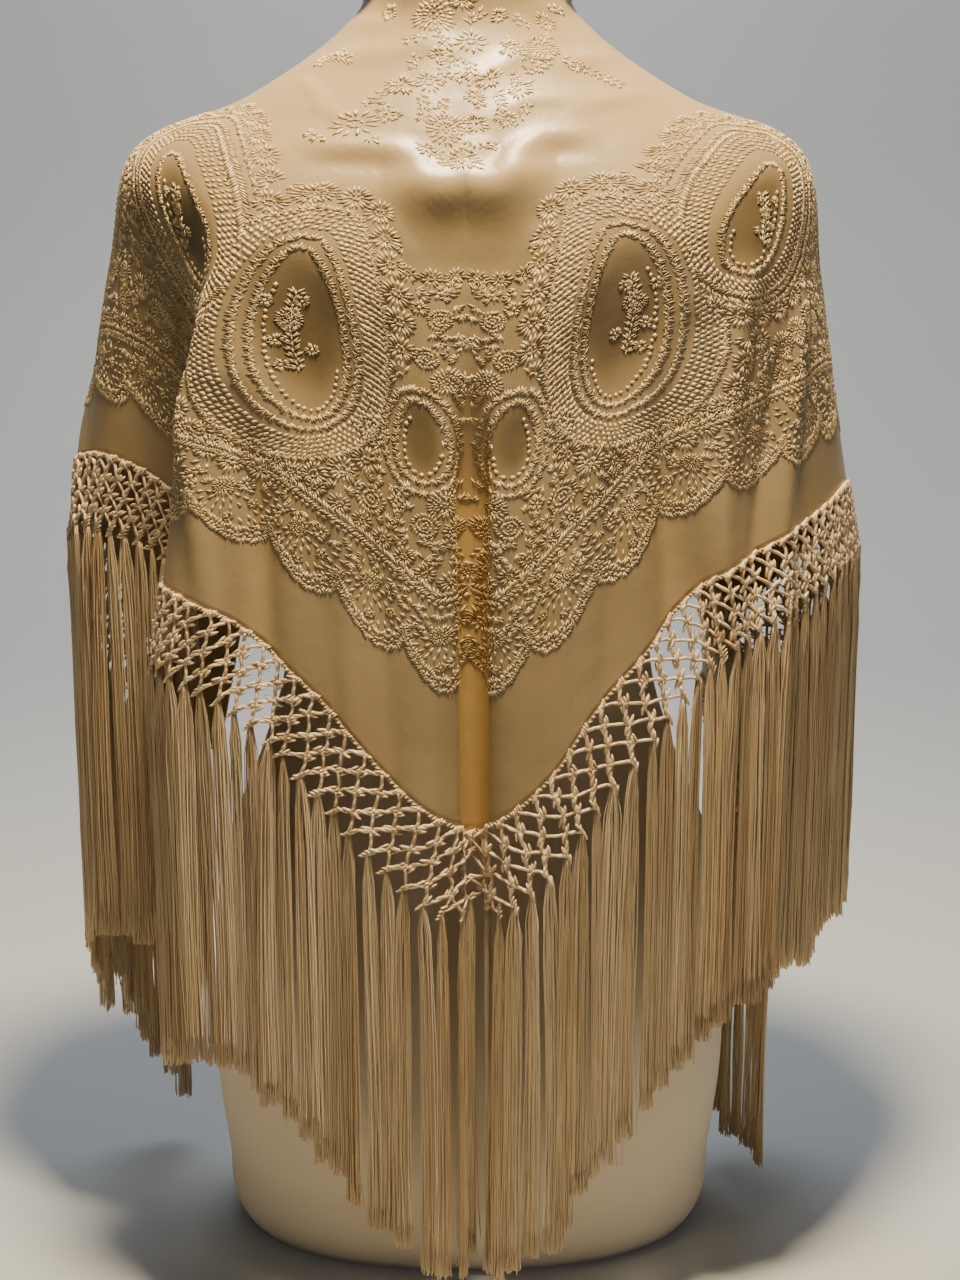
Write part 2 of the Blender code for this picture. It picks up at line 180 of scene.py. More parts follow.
def raised(tree: bpy.types.NodeTree, height: bpy.types.NodeSocket, strength: float, depth: float,
           under: bpy.types.NodeSocket | None = None) -> bpy.types.NodeSocket:
    """Adds a bump that a texture raises.

    Args:
        tree: the material's node tree.
        height: the texture.
        strength: how much of the bump shows.
        depth: its depth in metres.
        under: a finer bump that it lies on.

    Returns:
        The normal.
    """
    links = {"Height": height, "Normal": under} if under else {"Height": height}
    return add_node(tree, "ShaderNodeBump", {"Strength": strength, "Distance": depth}, links).outputs[0]


# Finishes


@dataclass(frozen=True)
class SatinCrepe:
    """Woven silk satin crepe: long floats give a soft, warm sheen that follows the folds."""

    light: str = "#a28c67"
    deep: str = "#8f7a56"
    painted_fold_glow: str = "#c29e5c"  # painted glow: the warm tone of light bounced from wall to wall inside a fold
    painted_hollow_shade: str = "#5f4f33"  # painted shade: darker satin in the sagging hollows in and above the paisleys
    thread: float = 0.9 * MM  # real threads are about 0.1 mm apart, drawn as coarse as shows

    def material(self) -> bpy.types.Material:
        """Builds the cloth's material on its flat-cut UV map, which is in metres.

        Returns:
            The material.
        """
        made, tree, shader = new_material("silk_satin_crepe_woven", {
            "Roughness": 0.36, "Sheen Weight": 0.06, "Sheen Roughness": 0.4, "Sheen Tint": linear("#fff2d8"),
            "Specular IOR Level": 0.38, "Subsurface Weight": 0.12,
            "Subsurface Radius": (0.006, 0.0035, 0.0015)})
        where = add_node(tree, "ShaderNodeUVMap", {"uv_map": "flat_cut"}).outputs[0]
        colour = cloudy(tree, where, 9.0, 3.0, [(0.3, self.deep), (0.7, self.light)])
        # painted shade: the satin darkens inside the sagging hollows, as far as the "sag" layer says
        colour = tinted(tree, colour, "sag", 0.85, self.painted_hollow_shade)
        # painted glow: the satin warms in folds and in the pleat, as far as the "fold" layer says
        colour = tinted(tree, colour, "fold", 0.85, self.painted_fold_glow)
        tree.links.new(colour, shader.inputs["Base Color"])
        drawn = add_node(tree, "ShaderNodeMapping", {"Scale": (1.0, 0.22, 1.0)}, {"Vector": where})
        threads = add_node(tree, "ShaderNodeTexNoise", {"Scale": 1 / self.thread, "Detail": 2.0},
                           {"Vector": drawn.outputs[0]})
        crush = add_node(tree, "ShaderNodeTexNoise", {"Scale": 42.0, "Detail": 4.0, "Roughness": 0.55},
                         {"Vector": where})
        weave = raised(tree, threads.outputs["Fac"], 0.18, 0.4 * MM)
        tree.links.new(raised(tree, crush.outputs["Fac"], 0.22, 2.2 * MM, weave), shader.inputs["Normal"])
        return made


@dataclass(frozen=True)
class SilkThread:
    """Reeled silk floss or cord: bright along the strand, in a tone that varies by length."""

    name: str
    light: str
    deep: str
    roughness: float
    sheen: float
    strand: float  # width of a single filament group, which shows as fine lines in the gloss
    stretch: tuple[float, float, float] = (1.0, 1.0, 1.0)
    # painted glow in folds, mixed in by the "fold" layer; none when empty
    painted_fold_glow: str = ""

    def material(self) -> bpy.types.Material:
        """Builds the thread's material on Object coordinates.

        Returns:
            The material.
        """
        made, tree, shader = new_material(self.name, {
            "Roughness": self.roughness, "Sheen Weight": self.sheen, "Sheen Roughness": 0.35,
            "Sheen Tint": linear("#fff4de"), "Specular IOR Level": 0.5})
        where = add_node(tree, "ShaderNodeTexCoord").outputs["Object"]
        along = add_node(tree, "ShaderNodeMapping", {"Scale": self.stretch}, {"Vector": where}).outputs[0]
        colour = cloudy(tree, along, 140.0, 3.0, [(0.28, self.deep), (0.68, self.light)])
        if self.painted_fold_glow:
            colour = tinted(tree, colour, "fold", 0.75, self.painted_fold_glow)
        tree.links.new(colour, shader.inputs["Base Color"])
        strands = add_node(tree, "ShaderNodeTexNoise", {"Scale": 1 / self.strand, "Detail": 1.0},
                           {"Vector": along})
        tree.links.new(raised(tree, strands.outputs["Fac"], 0.3, 0.3 * MM), shader.inputs["Normal"])
        return made


@dataclass(frozen=True)
class JerseyCover:
    """Matte stretch jersey over the display form: even, with a barely visible knit."""

    light: str = "#ddcdb4"
    deep: str = "#d2c0a4"
    stitch: float = 1.6 * MM

    def material(self) -> bpy.types.Material:
        """Builds the form's material on Object coordinates.

        Returns:
            The material.
        """
        made, tree, shader = new_material("cotton_jersey_knitted", {"Roughness": 0.82, "Sheen Weight": 0.15})
        where = add_node(tree, "ShaderNodeTexCoord").outputs["Object"]
        colour = cloudy(tree, where, 6.0, 4.0, [(0.3, self.deep), (0.7, self.light)])
        tree.links.new(colour, shader.inputs["Base Color"])
        upright = add_node(tree, "ShaderNodeMapping", {"Scale": (1.0, 1.0, 0.7)}, {"Vector": where})
        knit = add_node(tree, "ShaderNodeTexVoronoi", {"Scale": 1 / self.stitch},
                        {"Vector": upright.outputs[0]})
        tree.links.new(raised(tree, knit.outputs["Distance"], 0.25, 0.3 * MM), shader.inputs["Normal"])
        return made


@dataclass(frozen=True)
class StudioPaper:
    """Seamless pale background paper: dull and nearly even, so that it takes soft shadows."""

    light: str = "#c7cacb"
    deep: str = "#c0c4c6"

    def material(self) -> bpy.types.Material:
        """Builds the backdrop's material.

        Returns:
            The material.
        """
        made, tree, shader = new_material("backdrop_paper", {"Roughness": 0.9})
        where = add_node(tree, "ShaderNodeTexCoord").outputs["Object"]
        colour = cloudy(tree, where, 1.2, 2.0, [(0.2, self.deep), (0.8, self.light)])
        tree.links.new(colour, shader.inputs["Base Color"])
        return made


# Shape of the drape, the same rows as the solids


def unit(vectors: np.ndarray) -> np.ndarray:
    """Vectors of length one in the same directions."""
    return vectors / (np.linalg.norm(vectors, axis=-1, keepdims=True) + 1e-12)


def cubic(u: np.ndarray, start: np.ndarray, end: np.ndarray, leave: np.ndarray,
          arrive: np.ndarray) -> np.ndarray:
    """A smooth curve between two places.

    Args:
        u: shares of the way.
        start: where it starts.
        end: where it ends.
        leave: its slope at the start, per whole way.
        arrive: its slope at the end, per whole way.

    Returns:
        The places on the curve.
    """
    return (start * (1 + 2 * u) * (1 - u) ** 2 + end * u * u * (3 - 2 * u)
            + leave * u * (1 - u) ** 2 + arrive * u * u * (u - 1))


def smooth_rows(where: np.ndarray, knots: np.ndarray, values: np.ndarray) -> np.ndarray:
    """Reads a table along a smooth cubic.

    Args:
        where: places to read.
        knots: the rows' places, rising.
        values: the rows' values.

    Returns:
        The values at the places, clamped to the table's ends.
    """
    where = np.clip(np.asarray(where, float), knots[0], knots[-1])
    slopes = np.gradient(values, knots, axis=0)
    span = np.clip(np.searchsorted(knots, where, side="right") - 1, 0, len(knots) - 2)
    width = (knots[span + 1] - knots[span])[..., None]
    u = (where[..., None] - knots[span][..., None]) / width
    return cubic(u, values[span], values[span + 1], slopes[span] * width, slopes[span + 1] * width)


@dataclass
class FormShape:
    """The display torso: level, half width, back and front depth, in centimetres."""

    fullness: float = 2.3
    clearance: float = 2.0 * MM
    levels: tuple = (
        (0.0, 14.7, 9.4, 10.0), (0.6, 15.1, 9.8, 10.4), (5.0, 15.8, 10.4, 10.9),
        (11.4, 16.5, 10.9, 11.3), (18.0, 16.3, 10.7, 11.2), (25.0, 15.5, 9.7, 10.6),
        (31.5, 13.0, 8.2, 9.7), (36.0, 11.6, 7.6, 9.1), (40.0, 11.3, 7.5, 9.0),
        (45.0, 11.9, 8.3, 9.7), (50.0, 13.0, 9.4, 11.2), (55.0, 14.4, 10.4, 12.6),
        (60.0, 16.0, 10.9, 11.6), (63.0, 17.6, 10.6, 10.2), (65.2, 18.8, 9.8, 8.6),
        (66.7, 18.9, 8.7, 7.4), (68.0, 18.1, 7.6, 6.5), (69.1, 15.8, 6.9, 5.9),
        (70.2, 13.0, 6.5, 5.6), (71.4, 10.2, 6.1, 5.4), (72.9, 7.7, 5.7, 5.3),
        (74.8, 6.1, 5.4, 5.3), (77.5, 5.4, 5.2, 5.4), (82.0, 5.2, 5.1, 5.3),
        (83.4, 4.7, 4.6, 4.8), (83.9, 3.6, 3.5, 3.7),
    )

    def section(self, level: np.ndarray) -> np.ndarray:
        """Half width, back depth and front depth at each level, in metres."""
        table = np.array(self.levels) * CM
        return smooth_rows(level, table[:, 0], table[:, 1:])

    def ring_point(self, turn: np.ndarray, level: np.ndarray) -> np.ndarray:
        """Points on the form's surface.

        Args:
            turn: angle round the form in radians.
            level: height in metres.

        Returns:
            The points.
        """
        half, back, front = np.moveaxis(self.section(level), -1, 0)
        c, d = np.cos(turn), np.sin(turn)
        power = 2 / self.fullness
        x = half * np.sign(c) * np.abs(c) ** power
        y = np.where(d < 0, back, front) * np.sign(d) * np.abs(d) ** power
        return np.stack([x, y, np.broadcast_to(level, x.shape)], axis=-1)

    def depth(self, points: np.ndarray) -> tuple[np.ndarray, np.ndarray]:
        """How far points lie outside the form, and the way out.

        Args:
            points: the points.

        Returns:
            Distance, negative inside, and unit direction outwards.
        """

        def level_value(p: np.ndarray) -> np.ndarray:
            """The form's implicit function, zero on its surface."""
            half, back, front = np.moveaxis(self.section(p[..., 2]), -1, 0)
            deep = np.where(p[..., 1] < 0, back, front)
            x, y = np.abs(p[..., 0]) / half, np.abs(p[..., 1]) / deep
            return (x**self.fullness + y**self.fullness) ** (1 / self.fullness) - 1

        step = 0.5 * MM
        value = level_value(points)
        rises = [level_value(points + step * way) - level_value(points - step * way) for way in np.eye(3)]
        gradient = np.stack(rises, axis=-1) / (2 * step)
        size = np.linalg.norm(gradient, axis=-1)
        return value / size, gradient / size[..., None]

    def outside(self, points: np.ndarray) -> np.ndarray:
        """Moves points that are nearer than the clearance out to it."""
        for _ in range(6):
            far, way = self.depth(points)
            points = points + np.maximum(self.clearance - far, 0)[..., None] * way
        return points


# Where plain cloth sags between the stiff embroidery, in the paisleys and above them: the middle, the lean,
# half the width, half the length (centimetres) and the sag (millimetres), on both halves. The same fields
# also mask the painted shade that darkens the satin there.
DISHES = (
    ((8.1, 26.4), 0.06, 2.3, 4.6, 5.0), ((13.8, 19.8), 0.3, 1.6, 3.0, 2.2),
    ((2.4, 31.5), 0.1, 1.1, 2.0, 1.4), ((25.0, 13.0), 0.5, 2.1, 3.1, 2.0),
    ((0.0, 19.8), 0.0, 4.8, 2.1, 1.0),
)

# The pleat down the centre back: its place along the long edge, where it starts and where it is full
PLEAT_MIDDLE, PLEAT_TOP, PLEAT_FULL = 0.002, 0.27, 0.36


@dataclass
class Drape:
    """Maps the shawl's flat cut to its place over the form.

    The rows are the solids' own, in degrees from the centre back and centimetres. A yoke row is a ray
    and its points beside the neck, on the yoke and on the shoulder. A hem row is a ray, its point on
    the hem and how late the cloth runs out to it.
    """

    form: FormShape
    half_edge: float = 0.60
    height: float = 0.56
    nape: tuple = (0.0, -5.8, 80.0)
    knee_share: float = 0.34
    yoke: tuple = (
        (0, 0.0, -6.3, 74.3, 0.0, -9.7, 67.8, 0.0, -12.0, 60.5),
        (15, 1.9, -6.1, 74.4, 3.8, -9.4, 68.2, 7.0, -12.0, 61.5),
        (30, 3.6, -5.4, 74.6, 8.0, -7.9, 69.3, 13.6, -9.7, 64.5),
        (43, 4.8, -4.5, 74.9, 10.9, -5.6, 70.4, 17.7, -5.6, 66.9),
        (55, 5.7, -3.1, 75.3, 12.5, -2.8, 70.8, 19.6, -0.6, 67.8),
        (65, 6.2, -1.2, 75.6, 12.3, 0.6, 70.7, 18.8, 3.4, 67.1),
        (75, 6.4, 0.9, 75.6, 10.9, 3.7, 69.9, 16.0, 6.7, 65.6),
        (83, 6.2, 2.9, 75.3, 9.1, 5.9, 69.0, 13.1, 8.7, 63.6),
        (90, 5.8, 4.6, 74.6, 7.7, 7.2, 68.2, 10.7, 9.9, 61.5),
    )
    hem: tuple = (
        (-90, -17.0, 7.2, 28.6, 1.0), (-86, -19.4, 8.4, 32.4, 1.0), (-80, -21.6, 7.8, 37.4, 1.0),
        (-72, -23.2, 5.4, 42.2, 0.9), (-63.5, -23.8, 2.4, 46.6, 0.8), (-55.5, -23.5, -0.8, 49.5, 0.8),
        (-48, -21.4, -4.0, 50.2, 0.8), (-41, -18.2, -5.4, 49.0, 0.7), (-35, -15.9, -6.8, 46.9, 0.6),
        (-30.5, -15.6, -8.8, 45.2, 0.6), (-26, -17.1, -10.8, 43.8, 0.5), (-21.5, -15.6, -12.8, 43.2, 0.8),
        (-16.5, -12.4, -13.1, 41.6, 1.1), (-12.3, -9.6, -14.3, 39.3, 1.0), (-9, -7.2, -14.0, 36.7, 1.2),
        (-5.4, -4.3, -14.9, 33.4, 1.0), (-2.6, -1.7, -15.2, 31.2, 0.9), (-1.2, -0.6, -14.0, 30.3, 0.8),
        (0.0, 0.3, -12.9, 29.6, 0.8), (1.3, 1.3, -13.3, 30.1, 0.8), (2.8, 2.2, -14.7, 31.1, 0.9),
        (5.4, 4.4, -15.0, 33.2, 1.0), (8.8, 6.9, -14.4, 36.8, 1.1), (12.4, 9.8, -13.4, 40.1, 1.1),
        (16.8, 12.4, -11.9, 43.2, 1.3), (21.4, 14.8, -11.6, 44.7, 1.1), (27, 17.6, -9.6, 46.0, 0.9),
        (34, 20.6, -6.2, 47.3, 0.8), (42.5, 22.7, -2.4, 48.3, 0.8), (51, 23.4, 1.6, 47.3, 0.8),
        (60, 22.7, 5.6, 44.2, 0.8), (68, 20.3, 8.2, 40.6, 0.9), (74, 17.6, 8.4, 37.2, 1.0),
        (79, 16.0, 6.6, 34.6, 1.1), (84, 16.8, 3.6, 32.2, 1.2), (87.5, 18.6, 1.2, 30.4, 1.2),
        (90, 20.2, -0.6, 29.0, 1.2),
    )
    rays: int = 961
    rows: int = 293
    last_share: float = 1.17
    points: np.ndarray = field(init=False)
    normals: np.ndarray = field(init=False)
    hollow: np.ndarray = field(init=False)
    broad: np.ndarray = field(init=False)

    def __post_init__(self) -> None:
        """Works the drape out once on a fine grid of rays and shares."""
        rays = np.radians(np.linspace(-90, 90, self.rays))
        shares = np.linspace(0, self.last_share, self.rows)
        place = self.form.outside(self.along_rays(rays, shares))
        reach = self.reach(rays)
        s, t = (np.sin(rays) * reach)[:, None] * shares, (np.cos(rays) * reach)[:, None] * shares
        self.points = place + self.facing(place) * self.slack(s, t)[..., None]
        self.normals = self.facing(self.points)
        self.hollow = self.hollows(31) / (1.3 * MM)
        self.broad = self.hollows(121) / (8 * MM)

    @staticmethod
    def facing(points: np.ndarray) -> np.ndarray:
        """Directions out of the cloth over a grid of rays and shares."""
        across, down = np.gradient(points, axis=0), np.gradient(points, axis=1)
        across[:, 0] = across[:, 1]
        down[:, 0] = down[:, 1]
        return unit(np.cross(down, across))

    def hollows(self, span: int) -> np.ndarray:
        """How far the cloth lies below its own level across a number of rays."""
        window = np.hanning(span)
        window /= window.sum()
        padded = np.pad(self.points, ((span // 2, span // 2), (0, 0), (0, 0)), mode="edge")
        level = sum(w * padded[k:k + self.rays] for k, w in enumerate(window))
        return ((level - self.points) * self.normals).sum(-1)

    def reach(self, ray: np.ndarray) -> np.ndarray:
        """Flat length of a ray from the nape to the hem."""
        return 1 / (np.cos(ray) / self.height + np.abs(np.sin(ray)) / self.half_edge)

    def along_rays(self, rays: np.ndarray, shares: np.ndarray) -> np.ndarray:
        """Smooth curves through each ray's nape, neck, yoke, shoulder, knee and hem.

        Args:
            rays: ray angles in radians.
            shares: shares of the way to the hem; above one they run on straight.

        Returns:
            Points by ray and share.
        """
        degrees = np.degrees(rays)
        yoke = np.array(self.yoke, float)
        hem = np.array(self.hem, float)
        upper = smooth_rows(np.abs(degrees), yoke[:, 0], yoke[:, 1:])
        lower = smooth_rows(degrees, hem[:, 0], hem[:, 1:])
        side = np.stack([np.where(degrees < 0, -1.0, 1.0), np.ones_like(rays), np.ones_like(rays)], axis=-1)
        neck, mid, shoulder = (upper[:, k:k + 3] * side for k in (0, 3, 6))
        end, late = lower[:, :3], lower[:, 3:4]
        share = self.knee_share**late
        knee = shoulder + (end - shoulder) * np.concatenate(
            [share, share, np.full_like(share, self.knee_share)], axis=-1)
        turn = np.arctan2(neck[:, 0], -neck[:, 1]) / 2
        girth = (np.hypot(neck[:, 0], neck[:, 1]) - self.nape[1]) / 2
        rise = (self.nape[2] + neck[:, 2]) / 2 + 1.1 * np.abs(np.sin(rays))
        halfway = np.stack([girth * np.sin(turn), -girth * np.cos(turn), rise], axis=-1)
        stops = [np.broadcast_to(np.array(self.nape), end.shape), halfway, neck, mid, shoulder, knee, end]
        stops = [p * CM for p in stops]
        spans = [np.linalg.norm(b - a, axis=-1) for a, b in zip(stops, stops[1:])]
        knots = np.stack([np.zeros_like(spans[0])] + list(np.cumsum(spans, axis=0)), axis=-1)
        knots = knots / knots[:, -1:]
        slopes = [(stops[1] - stops[0]) / (knots[:, 1] - knots[:, 0])[:, None]]
        for k in range(1, 6):
            slopes.append((stops[k + 1] - stops[k - 1]) / (knots[:, k + 1] - knots[:, k - 1])[:, None])
        slopes.append((stops[6] - stops[5]) / (knots[:, 6] - knots[:, 5])[:, None])
        out = stops[6][:, None] + slopes[6][:, None] * np.maximum(shares - 1, 0)[None, :, None]
        for k in range(6):
            width = (knots[:, k + 1] - knots[:, k])[:, None, None]
            u = (shares[None, :, None] - knots[:, k, None, None]) / width
            curve = cubic(u, stops[k][:, None], stops[k + 1][:, None], slopes[k][:, None] * width,
                          slopes[k + 1][:, None] * width)
            out = np.where((u >= 0) & (u < 1), curve, out)
        return out

    def slack(self, s: np.ndarray, t: np.ndarray) -> np.ndarray:
        """Height of the soft creases over the plain drape.

        Args:
            s: places along the long edge.
            t: places towards the apex.

        Returns:
            Height in metres.
        """

        def eased(share: np.ndarray) -> np.ndarray:
            """Lets a crease rise softly from its end."""
            return np.sin(np.pi / 2 * np.clip(0.15 + share / 0.4, 0, 1))

        height = np.zeros(np.broadcast(s, t).shape)
        for s0, t0, s1, t1, half, rise, stays in CREASES:
            start, along = np.array([s0, t0]) * CM, np.array([s1 - s0, t1 - t0]) * CM
            place = ((s - start[0]) * along[0] + (t - start[1]) * along[1]) / (along @ along)
            near = np.clip(place, 0, 1)
            off = np.hypot(s - start[0] - near * along[0], t - start[1] - near * along[1])
            off = np.where(stays & (place > 1), np.abs((s - start[0]) - place * along[0]), off)
            fade = eased(place) if stays else eased(place) * eased(1 - place)
            height = height + rise * MM * fade * np.exp(-((off / (half * MM)) ** 2))
        for dish in DISHES:
            height = height - dish[-1] * MM * self.dished(s, t, dish)
        return height + self.valley(s, t)

    @staticmethod
    def dished(s: np.ndarray, t: np.ndarray, dish: tuple) -> np.ndarray:
        """How far places lie inside one sagging field, from nought at its rim to one."""
        middle, way, wide, long, _ = dish
        u, v = np.abs(s) / CM - middle[0], t / CM - middle[1]
        across, down = u * math.cos(way) + v * math.sin(way), v * math.cos(way) - u * math.sin(way)
        return np.exp(-((across / wide) ** 2 + (down / long) ** 2) ** 2)

    @staticmethod
    def valley(s: np.ndarray, t: np.ndarray) -> np.ndarray:
        """The sharp hollow pleat down the centre back, and the rounded ridges beside it."""
        share = np.clip((t - PLEAT_TOP) / (PLEAT_FULL - PLEAT_TOP), 0, 1)
        off = np.abs(s - PLEAT_MIDDLE) / MM
        ridges = 2.8 * np.exp(-(((off - 15.5) / 5.0) ** 2))
        trough = 5.5 * np.exp(-((off / 10.2) ** 6))
        return share * share * (3 - 2 * share) * MM * (ridges - trough)

    def folded(self, s: np.ndarray, t: np.ndarray) -> np.ndarray:
        """How deep places lie in a sharp fold, a broad one or the pleat, from nought to one; this sets where
        the painted glow lies.
        """
        sharp = 0.45 * (self.lookup(self.hollow[..., None], s, t)[..., 0] - 0.6)
        broad = 0.5 * (self.lookup(self.broad[..., None], s, t)[..., 0] - 0.15)
        share = np.clip((t - PLEAT_TOP) / (PLEAT_FULL - PLEAT_TOP), 0, 1)
        pleat = share * np.exp(-((np.abs(s - PLEAT_MIDDLE) / (11.2 * MM)) ** 4))
        return np.clip(np.max([sharp, broad, pleat], axis=0), 0, 1)

    def place(self, s: np.ndarray, t: np.ndarray, height: np.ndarray | float = 0.0) -> np.ndarray:
        """Places points of the flat cut on the draped cloth.

        Args:
            s: places along the long edge.
            t: places towards the apex.
            height: height over the cloth's inner face.

        Returns:
            The points in the frame.
        """
        outward = unit(self.lookup(self.normals, s, t))
        return self.lookup(self.points, s, t) + outward * np.asarray(height)[..., None]

    def lookup(self, grid: np.ndarray, s: np.ndarray, t: np.ndarray) -> np.ndarray:
        """Reads a grid of rays and shares at places of the flat cut.

        Args:
            grid: rays by shares by parts.
            s: places along the long edge.
            t: places towards the apex.

        Returns:
            The parts at the places.
        """
        s, t = np.broadcast_arrays(np.asarray(s, float), np.asarray(t, float))
        ray = np.arctan2(s, np.maximum(t, 0))
        share = np.hypot(s, np.maximum(t, 0)) / self.reach(ray)
        u = np.clip((np.degrees(ray) + 90) / 180, 0, 1) * (self.rays - 1)
        v = np.clip(share / self.last_share, 0, 1) * (self.rows - 1)
        i = np.clip(u.astype(int), 0, self.rays - 2)
        j = np.clip(v.astype(int), 0, self.rows - 2)
        a, b = (u - i)[..., None], (v - j)[..., None]
        low = (1 - a) * grid[i, j] + a * grid[i + 1, j]
        high = (1 - a) * grid[i, j + 1] + a * grid[i + 1, j + 1]
        return (1 - b) * low + b * high


# Soft creases: both ends in the flat cut (cm), half width and height (mm), and whether it runs to the hem
CREASES = (
    (-9.5, 8.4, 0.5, 7.4, 7, 1.6, 0), (-1.0, 9.8, 8.0, 7.6, 6, 1.4, 0),
    (-7.8, 13.9, -2.2, 15.3, 6, 2.6, 0), (-7.2, 15.5, -2.8, 16.4, 4, -1.0, 0),
    (1.0, 12.4, 7.5, 10.9, 5, 1.4, 0), (1.6, 15.2, 6.4, 13.9, 5, 1.9, 0),
    (-3.8, 16.8, 4.3, 16.2, 13, 6.0, 0), (-1.2, 14.4, 1.6, 14.2, 6, 1.4, 0),
    (2.8, 16.4, 6.2, 15.3, 4, -1.0, 0), (5.2, 12.6, 9.0, 10.2, 3, 1.1, 0),
    (-6.8, 11.4, -9.4, 9.4, 3, 1.1, 0), (-6.0, 19.4, 6.2, 19.1, 13, -1.4, 0),
    (-3.8, 19.0, -2.2, 21.4, 4, 1.2, 0), (3.4, 19.4, 2.0, 22.0, 4, 1.2, 0),
    (4.4, 9.6, 8.8, 6.2, 3, 0.9, 0), (-4.2, 6.2, -8.6, 4.6, 4, 1.0, 0),
    (-5.6, 12.2, -8.0, 11.4, 3, 1.0, 0), (3.0, 5.4, 6.6, 3.2, 4, 1.0, 0),
    (13.5, 20.0, 15.0, 36.0, 9, 4.0, 1), (11.2, 26.0, 11.6, 40.0, 9, -3.0, 1),
    (18.5, 22.0, 19.4, 33.0, 8, 3.5, 1), (17.0, 26.0, 17.4, 35.0, 6, -2.5, 1),
    (-11.8, 29.0, -11.6, 40.0, 10, -3.5, 1), (-14.6, 22.0, -14.8, 38.0, 8, 3.0, 1),
    (-7.2, 33.0, -7.0, 46.0, 8, 2.6, 1), (-4.9, 38.0, -4.8, 48.0, 7, -1.8, 1),
    (5.6, 38.0, 5.5, 48.0, 8, 2.0, 1), (8.2, 34.0, 8.3, 44.0, 8, -2.4, 1),
    (29.0, 10.0, 33.0, 22.0, 11, 3.5, 1), (36.0, 6.0, 40.0, 15.0, 11, -3.0, 1),
    (45.0, 3.0, 49.0, 8.0, 10, 3.0, 1), (-29.0, 10.0, -33.0, 21.0, 11, 3.5, 1),
    (-37.0, 6.0, -41.5, 13.0, 11, -3.0, 1), (-45.0, 3.0, -49.5, 7.0, 10, 3.0, 1),
)


# Objects, and joined copies of small shapes


def in_scene(name: str, data: bpy.types.ID | None) -> bpy.types.Object:
    """Puts a mesh, light or camera into the scene as an object."""
    made = bpy.data.objects.new(name, data)
    bpy.context.scene.collection.objects.link(made)
    return made


def smooth_object(name: str, mesh: bmesh.types.BMesh) -> bpy.types.Object:
    """Puts a finished bmesh into the scene with smooth shading, and frees it.

    Args:
        name: the object's name.
        mesh: the shape.

    Returns:
        The object.
    """
    data = bpy.data.meshes.new(name)
    mesh.to_mesh(data)
    mesh.free()
    data.shade_smooth()
    return in_scene(name, data)


@dataclass
class Template:
    """A small shape made with mesh operators, of which many copies are joined to one mesh."""

    points: np.ndarray
    faces: list

    @staticmethod
    def taken(mesh: bmesh.types.BMesh) -> "Template":
        """Reads a bmesh's points and faces, and frees it."""
        mesh.verts.index_update()
        points = np.array([v.co[:] for v in mesh.verts])
        faces = [[v.index for v in f.verts] for f in mesh.faces]
        mesh.free()
        return Template(points, faces)

    @staticmethod
    def seed(round_points: int, rings: int) -> "Template":
        """A pointed spindle of unit size, its length along X.

        Args:
            round_points: corners round it.
            rings: parts along it, two or more.

        Returns:
            The template.
        """
        mesh = bmesh.new()
        bmesh.ops.create_uvsphere(mesh, u_segments=round_points, v_segments=rings, radius=0.5,
                                  matrix=Matrix.Rotation(math.pi / 2, 4, "Y"))
        return Template.taken(mesh)

    @staticmethod
    def rod(round_points: int, parts: int) -> "Template":
        """A rod of unit radius from Z 0 to 1, cut into equal parts.

        Args:
            round_points: corners round it.
            parts: lengths along it.

        Returns:
            The template.
        """
        mesh = bmesh.new()
        bmesh.ops.create_cone(mesh, cap_ends=True, segments=round_points, radius1=1, radius2=1, depth=1,
                              matrix=Matrix.Translation((0, 0, 0.5)))
        upright = [e for e in mesh.edges if abs(e.verts[0].co.z - e.verts[1].co.z) > 0.5]
        if parts > 1:
            bmesh.ops.subdivide_edges(mesh, edges=upright, cuts=parts - 1, use_grid_fill=False)
        return Template.taken(mesh)

    def joined(self, name: str, placed: np.ndarray, fold: np.ndarray | None = None) -> bpy.types.Object:
        """Joins the placed copies to one object.

        Args:
            name: the object's name.
            placed: points of each copy, copies by points by three.
            fold: how deep each copy lies in a fold, from nought to one.

        Returns:
            The object.
        """
        copies, count = placed.shape[:2]
        sizes = np.array([len(f) for f in self.faces])
        flat = np.concatenate([np.array(f) for f in self.faces])
        corners = (flat[None, :] + count * np.arange(copies)[:, None]).ravel()
        starts = np.concatenate([[0], np.cumsum(np.tile(sizes, copies))[:-1]])
        mesh = bpy.data.meshes.new(name)
        mesh.vertices.add(copies * count)
        mesh.vertices.foreach_set("co", placed.reshape(-1).astype(np.float32))
        mesh.loops.add(len(corners))
        mesh.loops.foreach_set("vertex_index", corners.astype(np.int32))
        mesh.polygons.add(len(starts))
        mesh.polygons.foreach_set("loop_start", starts.astype(np.int32))
        mesh.update(calc_edges=True)
        mesh.shade_smooth()
        if fold is not None:
            shade = mesh.attributes.new("fold", "FLOAT", "POINT")
            shade.data.foreach_set("value", np.repeat(fold, count).astype(np.float32))
        return in_scene(name, mesh)

    def along(self, paths: np.ndarray, across: np.ndarray, radii: np.ndarray) -> np.ndarray:
        """Bends copies of a rod along paths.

        Args:
            paths: copies by stations by three; the stations match the rod's rings.
            across: copies by three, a direction that each rod's first radius takes.
            radii: copies by stations by two: radius along across, and square to it.

        Returns:
            Points of each copy.
        """
        stations = paths.shape[1] - 1
        ring = np.clip(np.rint(self.points[:, 2] * stations).astype(int), 0, stations)
        tangent = unit(np.gradient(paths, axis=1))
        first = unit(across[:, None] - tangent * (across[:, None] * tangent).sum(-1, keepdims=True))
        second = np.cross(tangent, first)
        x, y = self.points[:, 0][None, :, None], self.points[:, 1][None, :, None]
        return (paths[:, ring] + first[:, ring] * x * radii[:, ring, 0:1]
                + second[:, ring] * y * radii[:, ring, 1:2])


